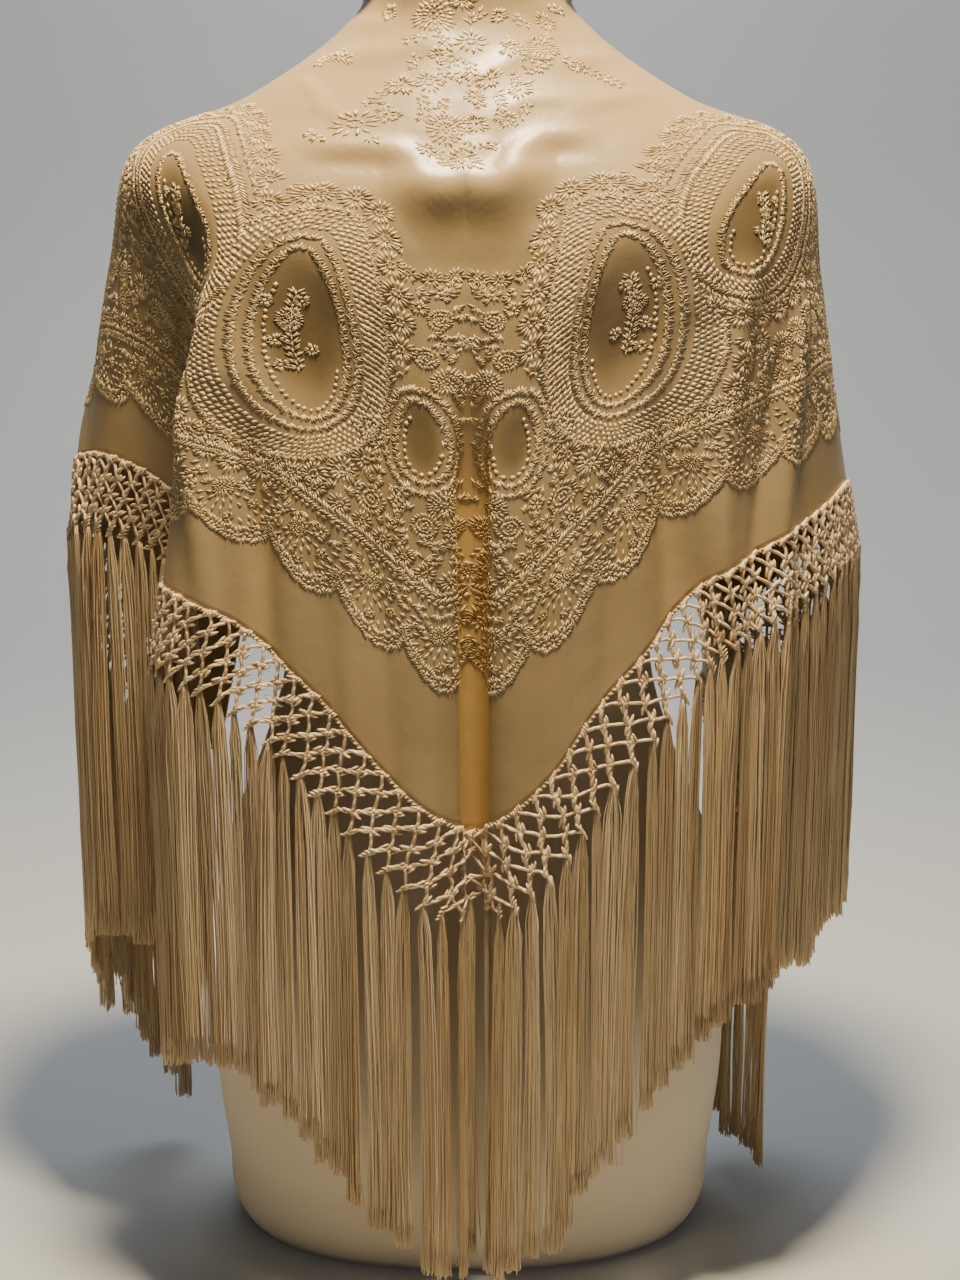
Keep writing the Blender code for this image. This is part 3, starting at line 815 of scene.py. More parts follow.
def dressed(piece: bpy.types.Object, material: bpy.types.Material, slot: str,
            *nodes: str) -> bpy.types.Object:
    """Gives a piece its material and its place on the body, and hides the CAD nodes that it replaces.

    Args:
        piece: the new object.
        material: its finish.
        slot: not used.
        nodes: CAD nodes that it replaces.

    Returns:
        The piece.
    """
    piece.data.materials.clear()
    piece.data.materials.append(material)
    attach(piece, "root")
    if nodes:
        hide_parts(*nodes)
    count = sum(len(p.vertices) - 2 for p in piece.data.polygons)
    log.info("%s: %d triangles", piece.name, count)
    return piece


# The form


@dataclass
class DressForm:
    """The limbless display torso under its jersey cover."""

    shape: FormShape
    round_points: int = 128
    level_step: float = 6 * MM

    def build(self) -> bpy.types.Object:
        """Builds the closed torso from one ring that is drawn up level by level.

        Returns:
            The form.
        """
        top = self.shape.levels[-1][0] * CM
        levels = np.linspace(0, top, round(top / self.level_step))
        mesh = bmesh.new()
        bmesh.ops.create_circle(mesh, cap_ends=True, segments=self.round_points, radius=1)
        lid = list(mesh.faces)
        for number, level in enumerate(levels[1:]):
            drawn = bmesh.ops.extrude_face_region(mesh, geom=lid)["geom"]
            if number:
                bmesh.ops.delete(mesh, geom=lid, context="FACES_ONLY")
            lid = [g for g in drawn if isinstance(g, bmesh.types.BMFace)]
            for part in drawn:
                if isinstance(part, bmesh.types.BMVert):
                    part.co.z = level
        for v in mesh.verts:
            v.co = self.shape.ring_point(np.arctan2(v.co.y, v.co.x), np.array(v.co.z))
        bmesh.ops.recalc_face_normals(mesh, faces=mesh.faces)
        made = smooth_object("form_body", mesh)
        made.data.set_sharp_from_angle(angle=math.radians(60))
        return dressed(made, JerseyCover().material(), "form_cover", "dress_form")


# The cloth


@dataclass
class Cloth:
    """The satin triangle as a thin shell, with its rolled hems.

    The columns run down from the nape, closer together at the centre back than at the front edges.
    """

    drape: Drape
    columns: int = 330
    rows: int = 100
    even_share: float = 0.6
    face: float = 1.0 * MM
    wall: float = 0.5 * MM
    roll: float = 1.1 * MM
    hem_lift: float = 0.8 * MM
    hem_inset: float = 0.6 * MM
    hem_parts: int = 60

    def build(self) -> bpy.types.Object:
        """Builds the draped sheet from a plain grid.

        Returns:
            The sheet.
        """
        mesh = bmesh.new()
        bmesh.ops.create_grid(mesh, x_segments=self.columns, y_segments=self.rows, size=1)
        mesh.verts.ensure_lookup_table()
        flat = np.array([v.co[:2] for v in mesh.verts])
        across = np.clip(flat[:, 0], -1, 1)
        ray = math.pi / 2 * (self.even_share * across + (1 - self.even_share) * across**3)
        share = np.clip((flat[:, 1] + 1) / 2, 0, 1)
        reach = self.drape.reach(ray) * share
        s, t = reach * np.sin(ray), reach * np.cos(ray)
        cut = mesh.loops.layers.uv.new("flat_cut")
        for f in mesh.faces:
            for loop in f.loops:
                k = loop.vert.index
                loop[cut].uv = (s[k], t[k])
        # the "fold" layer marks where the painted glow of light bounced inside folds lies
        fold = mesh.verts.layers.float.new("fold")
        # the "sag" layer marks where painted shade darkens the satin in the hollows
        sag = mesh.verts.layers.float.new("sag")
        painted_hollow_shade = np.max([self.drape.dished(s, t, dish) for dish in DISHES], axis=0)
        for v, deep, low in zip(mesh.verts, self.drape.folded(s, t), painted_hollow_shade):
            v[fold], v[sag] = deep, low
        for v, p in zip(mesh.verts, self.drape.place(s, t, self.face)):
            v.co = p
        nape = [v for v, part in zip(mesh.verts, share) if part < 1e-6]
        bmesh.ops.remove_doubles(mesh, verts=nape, dist=0.2 * MM)
        bmesh.ops.dissolve_degenerate(mesh, edges=mesh.edges, dist=0.01 * MM)
        bmesh.ops.recalc_face_normals(mesh, faces=mesh.faces)
        back = min(mesh.faces, key=lambda f: (f.calc_center_median() - Vector((0, -0.13, 0.55))).length)
        if back.normal.y > 0:
            bmesh.ops.reverse_faces(mesh, faces=mesh.faces)
        made = smooth_object("satin_sheet", mesh)
        shell = made.modifiers.new("shell", "SOLIDIFY")
        shell.thickness = self.wall
        shell.offset = -1
        return dressed(made, SatinCrepe().material(), "silk_crepe", "shawl_cloth")

    def hems(self, material: bpy.types.Material) -> bpy.types.Object:
        """Builds the hand-rolled hems along the three edges.

        Args:
            material: the satin.

        Returns:
            The rolled hems as one piece.
        """
        rod = Template.rod(6, self.hem_parts)
        half, height = self.drape.half_edge, self.drape.height
        edges = []
        for side in (-1, 1):
            for start in range(6):
                share = np.linspace(start / 6, (start + 1) / 6, self.hem_parts + 1)
                edges.append((side * half * share, height * (1 - share)))
                edges.append((side * half * share, np.full_like(share, self.hem_inset)))
        paths = np.array([self.drape.place(s, t, self.hem_lift) for s, t in edges])
        across = np.tile([0, -1.0, 0], (len(paths), 1))
        radii = np.full(paths.shape[:2] + (2,), self.roll)
        made = rod.joined("rolled_hems", rod.along(paths, across, radii))
        return dressed(made, material, "silk_crepe")


# Embroidery


class Ring(Enum):
    """What fills a ring round a paisley."""

    BEADS = "beads"
    SCALES = "scales"
    FEATHER = "feather"
    LEAVES = "leaves"
    DAISIES = "daisies"


@dataclass
class StitchBook:
    """Collects stitches in the flat cut: places in centimetres, directions in radians, sizes in mm."""

    rows: list = field(default_factory=list)

    def add(self, s: np.ndarray, t: np.ndarray, angle: np.ndarray, length: np.ndarray | float,
            width: np.ndarray | float, height: np.ndarray | float) -> None:
        """Adds stitches.

        Args:
            s: places along the long edge, cm.
            t: places towards the apex, cm.
            angle: direction in the flat cut, radians.
            length: stitch length, mm.
            width: stitch width, mm.
            height: raised height, mm.
        """
        given = (s, t, angle, length, width, height)
        parts = np.broadcast_arrays(*(np.atleast_1d(np.asarray(x, float)) for x in given))
        self.rows.append(np.stack([p.ravel() for p in parts], axis=-1))

    def table(self) -> np.ndarray:
        """All the stitches, one row each."""
        return np.concatenate(self.rows) if self.rows else np.zeros((0, 6))

    def mirrored(self) -> "StitchBook":
        """The same stitches on both halves of the shawl."""
        table = self.table()
        other = table.copy()
        other[:, 0] *= -1
        other[:, 2] = math.pi - other[:, 2]
        return StitchBook([table, other])

    def sift(self, start: int, wanted: Callable[[np.ndarray], np.ndarray]) -> None:
        """Drops some of the stitches that were added since a place in the book.

        Args:
            start: the place.
            wanted: tells for stitches' middles, n by 2, which ones stay.
        """
        table = np.concatenate(self.rows[start:])
        self.rows[start:] = [table[wanted(table[:, :2])]]


SQUARE = math.pi / 2
LEAF_REACH = 0.25  # from a stem to the middle of its leaf, cm


@dataclass
class Motifs:
    """Plain stitched figures, each drawn by a function of its own."""

    book: StitchBook
    dice: np.random.Generator

    def circle(self, s: np.ndarray | float, t: np.ndarray | float, radius: np.ndarray | float,
               turn: np.ndarray, lean: float, *sizes: float) -> None:
        """Sews stitches on a circle.

        Args:
            s: its middle, cm.
            t: its middle, cm.
            radius: its radius, cm.
            turn: the stitches' places on it, radians.
            lean: their direction, measured from the way out, radians.
            sizes: their length, width and height, mm.
        """
        self.book.add(s + radius * np.cos(turn), t + radius * np.sin(turn), turn + lean, *sizes)

    def daisy(self, s: float, t: float, radius: float, petals: int = 13) -> None:
        """A ring of straight petals round a beaded eye.

        Args:
            s: centre, cm.
            t: centre, cm.
            radius: outer radius, cm.
            petals: how many.
        """
        petal = all_round(petals) + self.dice.uniform(0, 1)
        self.circle(s, t, radius * 0.66, petal, 0, radius * 6.6, radius * 1.6, 1.5)
        self.circle(s, t, radius * 0.22, all_round(6), SQUARE, radius * 2.6, radius * 1.5, 1.6)

    def blossom(self, s: float, t: float, radius: float) -> None:
        """Five rounded petals of three stitches each round a knot."""
        start = self.dice.uniform(0, math.tau)
        for place in all_round(5):
            turn = start + place + np.array([-0.32, 0, 0.32])
            far = radius * np.array([0.55, 0.64, 0.55])
            self.circle(s, t, far, turn, 0, radius * 6.6, radius * 2.2, 1.4)
        self.book.add(s, t, start, 2.2, 2.0, 1.9)

    def rosette(self, s: float, t: float, radius: float) -> None:
        """Two rings of stitches round a small coil."""
        rings = ((0.88, 3.9, 22, 0.5), (0.52, 3.38, 14, SQUARE), (0.2, 2.86, 6, SQUARE))
        for share, size, count, lean in rings:
            self.circle(s, t, radius * share, all_round(count), lean, radius * size, 1.2, 1.4)

    def rose(self, s: float, t: float, radius: float) -> None:
        """An open flower: outer petals, a rim of beads, inner petals and a beaded eye."""
        for share, size, wide, count in ((0.78, 5.0, 1.4, 22), (0.42, 3.4, 1.3, 13)):
            turn = all_round(count) + self.dice.uniform(0, 1)
            self.circle(s, t, radius * share, turn, 0, radius * size, radius * wide, 1.2)
        for share, count in ((0.58, 15), (0.16, 4)):
            self.circle(s, t, radius * share, all_round(count), SQUARE, radius * 2.0, 1.2, 1.5)

    def sprig(self, s: float, t: float, angle: float, length: float, bend: float = 0.6) -> None:
        """A curved stem with two pairs of small leaves at each joint.

        Args:
            s: foot, cm.
            t: foot, cm.
            angle: direction at the foot, radians.
            length: cm.
            bend: turn from foot to tip, radians.
        """
        count = max(3, round(length / 0.36))
        way = angle + bend * np.linspace(0, 1, count)
        step = length / count
        x = s + np.cumsum(np.cos(way)) * step
        y = t + np.cumsum(np.sin(way)) * step
        self.book.add(x, y, way, step * 11, 1.0, 1.0)
        for splay in (-0.62, 0.62, -1.0, 1.0):
            self.circle(x, y, LEAF_REACH, way + splay, 0, 4.6, 1.2, 1.3)

    def chain(self, line: np.ndarray, pitch: float, length: float, width: float, height: float,
              lean: float = 0.0) -> None:
        """Stitches one after another along a line.

        Args:
            line: points of the flat cut, cm.
            pitch: distance from stitch to stitch, cm.
            length: mm.
            width: mm.
            height: mm.
            lean: angle to the line, radians.
        """
        point, way = evenly(line, pitch)
        self.book.add(point[:, 0], point[:, 1], way + lean, length, width, height)

    def feather(self, line: np.ndarray, pitch: float = 0.165, length: float = 5.8) -> None:
        """Leaves that lean out to both sides of a line."""
        point, way = evenly(line, pitch)
        for splay in (-0.85, 0.85):
            self.circle(point[:, 0], point[:, 1], LEAF_REACH, way + splay, 0, length, 1.25, 1.4)

    def scales(self, lines: list, pitch: float = 0.33) -> None:
        """Rows of thick stitches set like bricks."""
        for number, line in enumerate(lines):
            point, way = evenly(line, pitch, offset=0.5 * (number % 2))
            self.book.add(point[:, 0], point[:, 1], way + 0.8, 3.9, 2.0, 1.3)

    def tuft(self, s: float, t: float, angle: float) -> None:
        """Five leaves out of one foot."""
        self.circle(s, t, 0.23, angle + np.array([-1.0, -0.5, 0, 0.5, 1.0]), 0, 4.6, 1.1, 1.3)


def all_round(count: int) -> np.ndarray:
    """Even angles round a circle, in radians."""
    return np.linspace(0, math.tau, count, endpoint=False)


def evenly(line: np.ndarray, pitch: float, offset: float = 0.0) -> tuple[np.ndarray, np.ndarray]:
    """Points at even distances along a line, and its direction there.

    Args:
        line: points, n by 2.
        pitch: the distance.
        offset: share of the pitch by which the first point moves on.

    Returns:
        The points and the directions in radians.
    """
    steps = np.linalg.norm(np.diff(line, axis=0), axis=1)
    far = np.concatenate([[0], np.cumsum(steps)])
    at = np.arange(offset * pitch, far[-1], pitch)
    x, y = np.interp(at, far, line[:, 0]), np.interp(at, far, line[:, 1])
    ahead = np.minimum(at + 0.05, far[-1])
    behind = np.maximum(at - 0.05, 0)
    way = np.arctan2(np.interp(ahead, far, line[:, 1]) - np.interp(behind, far, line[:, 1]),
                     np.interp(ahead, far, line[:, 0]) - np.interp(behind, far, line[:, 0]))
    return np.stack([x, y], axis=-1), way


@dataclass
class Paisley:
    """A teardrop of bare satin with stitched rings round it; sizes in centimetres."""

    s: float
    t: float
    half_width: float
    half_length: float
    turn: float
    curl: float  # how far its tip bends aside
    lean: tuple  # how the rings move off with each centimetre outwards
    hook: float  # how far their tips bend aside with each centimetre outwards
    rings: tuple  # distance from the bare teardrop and filling of each

    def outline(self, out: float = 0.0, count: int = 240) -> np.ndarray:
        """The teardrop's outline, moved outwards by a distance.

        Args:
            out: the distance, cm.
            count: points.

        Returns:
            Points of the flat cut.
        """
        phase = np.linspace(0, math.tau, count)
        x = self.half_width * np.sin(phase) * np.abs(np.sin(phase / 2)) ** 0.7
        y = self.half_length * np.cos(phase)
        x = x + self.curl * ((y / self.half_length + 1) / 2) ** 2
        c, d = math.cos(self.turn), math.sin(self.turn)
        line = np.stack([c * x - d * y, d * x + c * y], axis=-1)
        along = np.gradient(line, axis=0)
        along[0] = along[-1] = (along[1] + along[-2]) / 2
        along = unit(along)
        away = np.stack([-along[:, 1], along[:, 0]], axis=-1)
        line = line + out * away + out * np.array(self.lean)
        line[:, 0] -= self.hook * out * np.clip(-away[:, 1], 0, 1)
        return line + [self.s, self.t]

    def within(self, points: np.ndarray, out: float) -> np.ndarray:
        """Whether points lie inside the outline that is moved outwards.

        Args:
            points: n by 2, cm.
            out: the distance, cm.

        Returns:
            True where they do.
        """
        line = self.outline(out, 80)
        x, y = points[:, 0:1], points[:, 1:2]
        (low_x, low_y), (high_x, high_y) = line[:-1].T, line[1:].T
        crossed = (low_y > y) != (high_y > y)
        run = low_x + (y - low_y) / (high_y - low_y + 1e-12) * (high_x - low_x)
        return (crossed & (x < run)).sum(axis=1) % 2 == 1

    def far(self, points: np.ndarray) -> np.ndarray:
        """Distance of points from the bare teardrop, negative inside it.

        Args:
            points: n by 2, cm.

        Returns:
            The distances.
        """
        line = self.outline(count=90)
        gap = np.sqrt(((points[:, None] - line[None]) ** 2).sum(-1)).min(axis=1)
        return np.where(self.within(points, 0.0), -gap, gap)


@dataclass
class Embroidery:
    """The raised silk embroidery: paisleys, scalloped border, sprays and their filling.

    The motifs are ordinary paisleys, daisies and leaf sprays, laid out after the photograph.
    Places are in centimetres of the flat cut. Each arch is the width of the ground round a paisley, and
    small is the number of the one beside the pleat, which has less ground and no flowers in it. A spray
    has its middle, radius and kind: a rose, a daisy or a blossom. A stem has its foot, direction, length
    and bend. The sprays end where the fold across the upper back turns under.
    """

    drape: Drape
    seed: int = 7
    scallop: float = 3.7
    paisleys: tuple = (
        Paisley(8.3, 26.4, 2.05, 4.4, math.pi + 0.06, 0.9, (0.2, -0.06), 0.5, (
            (0.1, Ring.BEADS), (0.45, Ring.LEAVES), (1.1, Ring.LEAVES), (1.85, Ring.SCALES),
            (2.95, Ring.LEAVES), (4.05, Ring.DAISIES))),
        Paisley(13.9, 19.8, 1.3, 2.8, math.pi + 0.35, 0.5, (-0.02, -0.3), 0.2, (
            (0.1, Ring.BEADS), (0.45, Ring.LEAVES), (1.5, Ring.SCALES), (2.75, Ring.FEATHER),
            (3.3, Ring.LEAVES), (4.1, Ring.DAISIES))),
        Paisley(25.0, 13.0, 1.9, 2.8, math.pi + 0.6, 0.4, (-0.1, -0.1), 0.2, (
            (0.1, Ring.BEADS), (0.45, Ring.LEAVES), (1.5, Ring.SCALES), (2.75, Ring.FEATHER),
            (3.3, Ring.LEAVES), (4.1, Ring.DAISIES))),
        Paisley(36.5, 7.4, 1.6, 2.4, math.pi + 0.7, 0.3, (0, 0), 0, (
            (0.22, Ring.BEADS), (0.8, Ring.FEATHER), (1.5, Ring.SCALES), (3.2, Ring.DAISIES))),
        Paisley(2.45, 31.4, 0.95, 1.8, math.pi + 0.12, 0.2, (0, 0), 0, (
            (0.12, Ring.BEADS), (0.4, Ring.LEAVES), (1.0, Ring.LEAVES))),
    )
    small: int = 4
    arches: tuple = (4.9, 4.9, 4.9, 4.0)
    top_line: tuple = (
        (0, 21.3), (3.0, 21.3), (3.6, 24.0), (11.5, 22.0), (13.0, 16.0), (17.0, 12.6),
        (19.0, 12.0), (24.0, 8.0), (32.0, 4.6), (38, 3.2), (44.0, 1.2), (60.0, 0.4),
    )
    lower_line: tuple = (
        (0, 45.6), (1.9, 45.6), (3.7, 44.0), (6.3, 42.6), (9.2, 40.6), (12.0, 38.3), (16.0, 35.2),
        (20.0, 32.0), (24.0, 28.6), (30.0, 22.8), (36.0, 17.2), (44.0, 9.8), (50.0, 4.6), (55.0, 1.0),
        (60.0, -3.0),
    )
    sprays: tuple = (
        (-1.6, 5.7, 1.15, "r"), (-0.2, 4.5, 0.85, "b"), (2.3, 8.2, 0.8, "b"), (3.9, 7.9, 1.0, "r"),
        (5.6, 8.9, 0.5, "b"), (4.2, 5.7, 0.75, "d"), (-3.4, 10.4, 0.9, "b"), (-2.0, 10.2, 0.85, "d"),
        (1.2, 9.8, 0.85, "b"), (3.0, 11.1, 0.9, "b"), (-5.5, 12.7, 1.2, "d"), (-3.9, 12.5, 0.5, "b"),
        (-1.1, 13.1, 1.15, "r"), (0.5, 12.6, 0.85, "b"), (-0.2, 15.3, 1.15, "r"), (-2.1, 14.6, 0.65, "b"),
        (2.3, 12.9, 0.6, "b"), (-8.2, 8.4, 0.55, "b"), (-6.9, 7.9, 0.45, "b"), (0.2, 7.2, 0.9, "d"),
        (-1.4, 8.3, 0.7, "b"), (0.6, 2.2, 0.9, "d"), (-2.6, 2.8, 0.8, "b"), (3.0, 3.2, 0.8, "b"),
        (1.6, 5.9, 0.6, "b"), (-4.4, 5.2, 0.7, "b"), (0.4, 10.9, 0.7, "b"),
    )
    stems: tuple = (
        (-1.2, 6.6, 1.35, 3.2, 0.5), (0.3, 8.2, 1.7, 3.2, -0.5), (2.6, 8.6, 0.5, 1.6, -0.6),
        (4.6, 8.4, 0.3, 3.4, 0.25), (-5.1, 11.8, -1.2, 1.9, 0.9), (-2.6, 10.8, 1.2, 1.9, 0.5),
        (3.4, 11.8, 1.6, 1.5, 0.8), (0.3, 13.6, 1.8, 1.6, 0.2), (-8.8, 8.7, -0.5, 2.6, 0.7),
        (-1.4, 14.0, 1.6, 1.4, -0.5), (1.4, 10.6, 0.9, 2.0, 0.9), (-0.5, 3.0, 1.4, 1.5, 0.4),
        (2.0, 9.9, 0.4, 1.4, 1.2), (-3.9, 11.2, 2.2, 1.6, -0.9),
    )
    coils: tuple = (
        (4.9, 31.4, 0.85), (5.3, 35.4, 0.85), (2.4, 36.2, 0.7), (1.2, 24.4, 0.6), (1.9, 26.6, 0.6),
    )
    sprays_end: float = 15.9
    sprays_rise: float = 0.28
    cell: float = 0.15
    cells: tuple = (420, 400)
    seam: float = 12.5
    seat: float = 1.1 * MM
    spread: float = 1.12  # floss spreads past its needle holes by this share
    book: StitchBook = field(default_factory=StitchBook)

    def border(self, s: np.ndarray) -> np.ndarray:
        """The scalloped lower edge of the embroidery at places along the long edge, cm."""
        line = np.array(self.lower_line)
        place = np.abs(s)
        high = np.interp(place, line[:, 0], line[:, 1])
        lobe = np.abs(np.sin(np.pi * place / self.scallop)) ** 0.6
        picot = np.abs(np.sin(np.pi * place / 0.62))
        return high - 1.25 + 1.7 * lobe + 0.2 * picot

    def inside(self, points: np.ndarray) -> np.ndarray:
        """Whether points lie in the embroidered region.

        Args:
            points: n by 2, cm.

        Returns:
            True where they do.
        """
        line = np.array(self.top_line)
        place = np.abs(points[:, 0])
        top = points[:, 1] > np.interp(place, line[:, 0], line[:, 1])
        half = np.stack([place, points[:, 1]], axis=-1)
        for paisley, reach in zip(self.paisleys, self.arches):
            top |= paisley.within(half, reach)
        return top & (points[:, 1] < self.border(points[:, 0]))

    def sew_paisley(self, number: int, motifs: Motifs) -> None:
        """Sews one paisley's rings, within its own ground.

        Args:
            number: which paisley.
            motifs: the stitch drawer.
        """
        paisley = self.paisleys[number]
        start = len(self.book.rows)
        for out, kind in paisley.rings:
            line = paisley.outline(out)
            if kind is Ring.BEADS:
                motifs.chain(line[80:210], 0.4, 3.0, 2.5, 1.7)
            elif kind is Ring.FEATHER:
                motifs.feather(line)
            elif kind is Ring.LEAVES:
                for point, way in zip(*evenly(line, 0.5)):
                    motifs.tuft(point[0], point[1], way + math.pi / 2)
            elif kind is Ring.SCALES:
                courses = 5 if number == 0 else 4
                motifs.scales([paisley.outline(out + 0.27 * k) for k in range(courses)])
            else:
                for point in evenly(line, 1.5)[0]:
                    motifs.daisy(point[0], point[1], 0.84, 17)
        if number != self.small:
            size = paisley.half_length
            motifs.sprig(paisley.s + 0.35, paisley.t + size * 0.55, -1.45, size * 1.1, -0.5)
            motifs.rose(paisley.s + 0.25, paisley.t - size * 0.2, size * 0.15)
            for side, rise in ((-1, -0.42), (1, 0.05), (-1, 0.22), (1, -0.5), (1, 0.38)):
                motifs.blossom(paisley.s + 0.3 + side * size * 0.17, paisley.t + size * rise, size * 0.1)
        self.book.sift(start, lambda points: self.own_ground(points, number))

    def own_ground(self, points: np.ndarray, number: int) -> np.ndarray:
        """Which places belong to one paisley's ground.

        Args:
            points: n by 2, cm.
            number: which paisley.

        Returns:
            True where they do.
        """
        own = self.paisleys[number].far(points)
        keep = self.inside(points) & (points[:, 0] > 0.15)
        if number == self.small:
            keep &= own > -0.1
        for other, paisley in enumerate(self.paisleys):
            if other != number:
                share = 0.62 if other == self.small else 1.6 if number == self.small else 1.0
                keep &= (paisley.far(points) > 0.25) & (own * share <= paisley.far(points) + 0.1)
        return keep

    def sew_border(self, motifs: Motifs) -> None:
        """Sews the scalloped border: fans, their rims and the small flowers above."""
        start = len(self.book.rows)
        s = np.linspace(0, 57.5, 2400)
        edge = np.stack([s, self.border(s)], axis=-1)
        rims = ((0.1, 0.14, 3.8, 1.3), (0.45, 0.28, 3.2, 0.1), (0.8, 0.15, 3.8, 1.9))
        for inset, pitch, length, lean in rims:
            motifs.chain(edge - np.array([0, inset]), pitch, length, 1.25, 1.4, lean)
        for k in range(15):
            middle = (k + 0.5) * self.scallop
            foot = self.border(np.array(middle)) - 3.2
            for ring in range(1, 6):
                reach = 0.3 + 0.48 * ring
                count = max(7, round(reach * 7.0))
                turn = np.linspace(0.1, math.pi - 0.1, count) - 0.3 + 0.1 * (ring % 2)
                if ring != 3:
                    motifs.circle(middle, foot, reach, turn, 0, 4.6, 1.3, 1.3)
                    continue
                for place in turn[::3]:
                    motifs.blossom(middle + reach * math.cos(place), foot + reach * math.sin(place), 0.34)
            motifs.rose(middle, foot - 0.15, 0.62)
        line = np.stack([s, np.interp(s, *np.array(self.lower_line).T) - 4.6], axis=-1)
        motifs.chain(line, 0.36, 3.0, 2.3, 1.6)
        motifs.feather(line - np.array([0, 0.55]))
        for point in evenly(line - np.array([0, 1.45]), 1.35)[0]:
            motifs.daisy(point[0], point[1], 0.64, 14)
        self.book.sift(start, lambda points: self.clear_ground(points, 1.0))

    def clear_ground(self, points: np.ndarray, margin: float) -> np.ndarray:
        """Which places of the region lie a margin clear of every bare teardrop, in centimetres."""
        far = np.min([paisley.far(points) for paisley in self.paisleys], axis=0)
        return self.inside(points) & (far > margin)

    def cells_at(self, s: np.ndarray, t: np.ndarray) -> tuple:
        """Cells of a 1.5 mm grid over the half cut that hold places, given in centimetres."""
        return tuple(np.clip((place / self.cell).astype(int), 0, count - 1)
                     for place, count in zip((s, t), self.cells))

    def free(self, grow: int) -> np.ndarray:
        """Which cells of the grid lie clear of every stitch.

        Args:
            grow: how many cells each stitch keeps clear round it.

        Returns:
            A grid by s and t, true where it is free.
        """
        s, t, angle, length = self.book.table()[:, :4].T
        taken = np.zeros(self.cells, bool)
        for share in (-0.4, -0.2, 0, 0.2, 0.4):
            far = share * length * MM / CM
            taken[self.cells_at(s + far * np.cos(angle), t + far * np.sin(angle))] = True
        for _ in range(grow):
            wide = taken.copy()
            wide[1:] |= taken[:-1]
            wide[:-1] |= taken[1:]
            wide[:, 1:] |= taken[:, :-1]
            wide[:, :-1] |= taken[:, 1:]
            taken = wide
        return ~taken

    def lattice(self, motifs: Motifs, pitch: float, grow: int, margin: float) -> np.ndarray:
        """Free places on a loose lattice over the ground.

        Args:
            motifs: the stitch drawer.
            pitch: the lattice's pitch, cm.
            grow: cells that must be clear round a place.
            margin: distance from the region's edge, cm.

        Returns:
            The places.
        """
        x, y = np.meshgrid(np.arange(pitch / 2, 58, pitch), np.arange(1, 50, pitch * 0.87), indexing="ij")
        x = x + pitch / 2 * (np.arange(y.shape[1]) % 2)
        places = np.stack([x.ravel(), y.ravel()], axis=-1)
        places = places + motifs.dice.uniform(-0.2, 0.2, places.shape) * pitch
        keep = self.free(grow)[self.cells_at(places[:, 0], places[:, 1])]
        keep &= self.inside(places + [0, margin]) & self.inside(places - [0, margin])
        return places[keep & self.clear_ground(places, margin)]

    def fill(self, motifs: Motifs) -> None:
        """Fills the ground that is left: flowers, then blossoms and sprigs, then tufts in swirls."""
        dice = motifs.dice
        for place in self.lattice(motifs, 1.7, 4, 0.6):
            if dice.uniform() < 0.6:
                motifs.rose(place[0], place[1], 0.82)
            else:
                motifs.daisy(place[0], place[1], 0.85, 17)
        for place in self.lattice(motifs, 1.15, 2, 0.45):
            if dice.uniform() < 0.4:
                motifs.blossom(place[0], place[1], 0.52)
            else:
                motifs.sprig(place[0] - 0.35, place[1], dice.uniform(0, math.tau), 1.3, 1.4)
        low = self.lattice(motifs, 0.58, 1, 0.2)
        for place in low[self.dense(low)]:
            swirl = 1.6 * math.sin(place[0] * 0.9) + 1.6 * math.cos(place[1] * 0.8) + dice.normal(0, 0.3)
            motifs.tuft(place[0], place[1], swirl)

    def dense(self, points: np.ndarray) -> np.ndarray:
        """Which places belong to the closely worked ground, beyond the paisleys' own bare bands."""
        far = np.min([paisley.far(points) for paisley in self.paisleys[:4]], axis=0)
        return (far > 4.7) | (points[:, 1] > 33 - 0.35 * np.abs(points[:, 0] - 8))

    def sew(self) -> list:
        """Draws every motif, mirrors it and sews it on in pieces.

        Returns:
            The embroidered pieces.
        """
        motifs = Motifs(self.book, np.random.default_rng(self.seed))
        for number in range(len(self.paisleys)):
            self.sew_paisley(number, motifs)
        for coil in self.coils:
            motifs.rosette(*coil)
        for k in range(3):
            motifs.daisy(0.5 + 1.05 * k, 22.0, 0.56)
        self.sew_border(motifs)
        self.fill(motifs)
        both = self.book.mirrored()
        mirrored = len(both.rows)
        single = Motifs(both, np.random.default_rng(self.seed + 1))
        for s, t, radius, kind in self.sprays:
            figure = {"r": single.rose, "d": single.daisy, "b": single.blossom}[kind]
            figure(s, t, radius)
            if kind != "b":
                for turn in single.dice.uniform(0, math.tau, 3):
                    foot = radius * 0.95
                    single.sprig(s + foot * math.cos(turn), t + foot * math.sin(turn), turn, 1.0, 1.0)
        for stem in self.stems:
            single.sprig(*stem)
        sprays = np.concatenate(both.rows[mirrored:])
        clear = sprays[:, 1] < self.sprays_end - self.sprays_rise * np.abs(sprays[:, 0])
        table = np.concatenate([*both.rows[:mirrored], sprays[clear]])
        log.info("stitches: %d", len(table))
        # the floss takes a painted warm glow where it lies deep in folds
        floss = SilkThread("silk_floss_reeled", "#d6c194", "#b4986a", 0.28, 0.1, 0.5 * MM,
                           painted_fold_glow="#c09b5c").material()
        names = ("embroidery_left", "embroidery_back_left", "embroidery_back_right", "embroidery_right")
        seams = (-math.inf, -self.seam, 0, self.seam, math.inf)
        pieces = []
        for name, low, high in zip(names, seams, seams[1:]):
            rows = table[(table[:, 0] >= low) & (table[:, 0] < high)]
            pieces.append(dressed(self.stitches(name, rows), floss, "silk_crepe"))
        return pieces

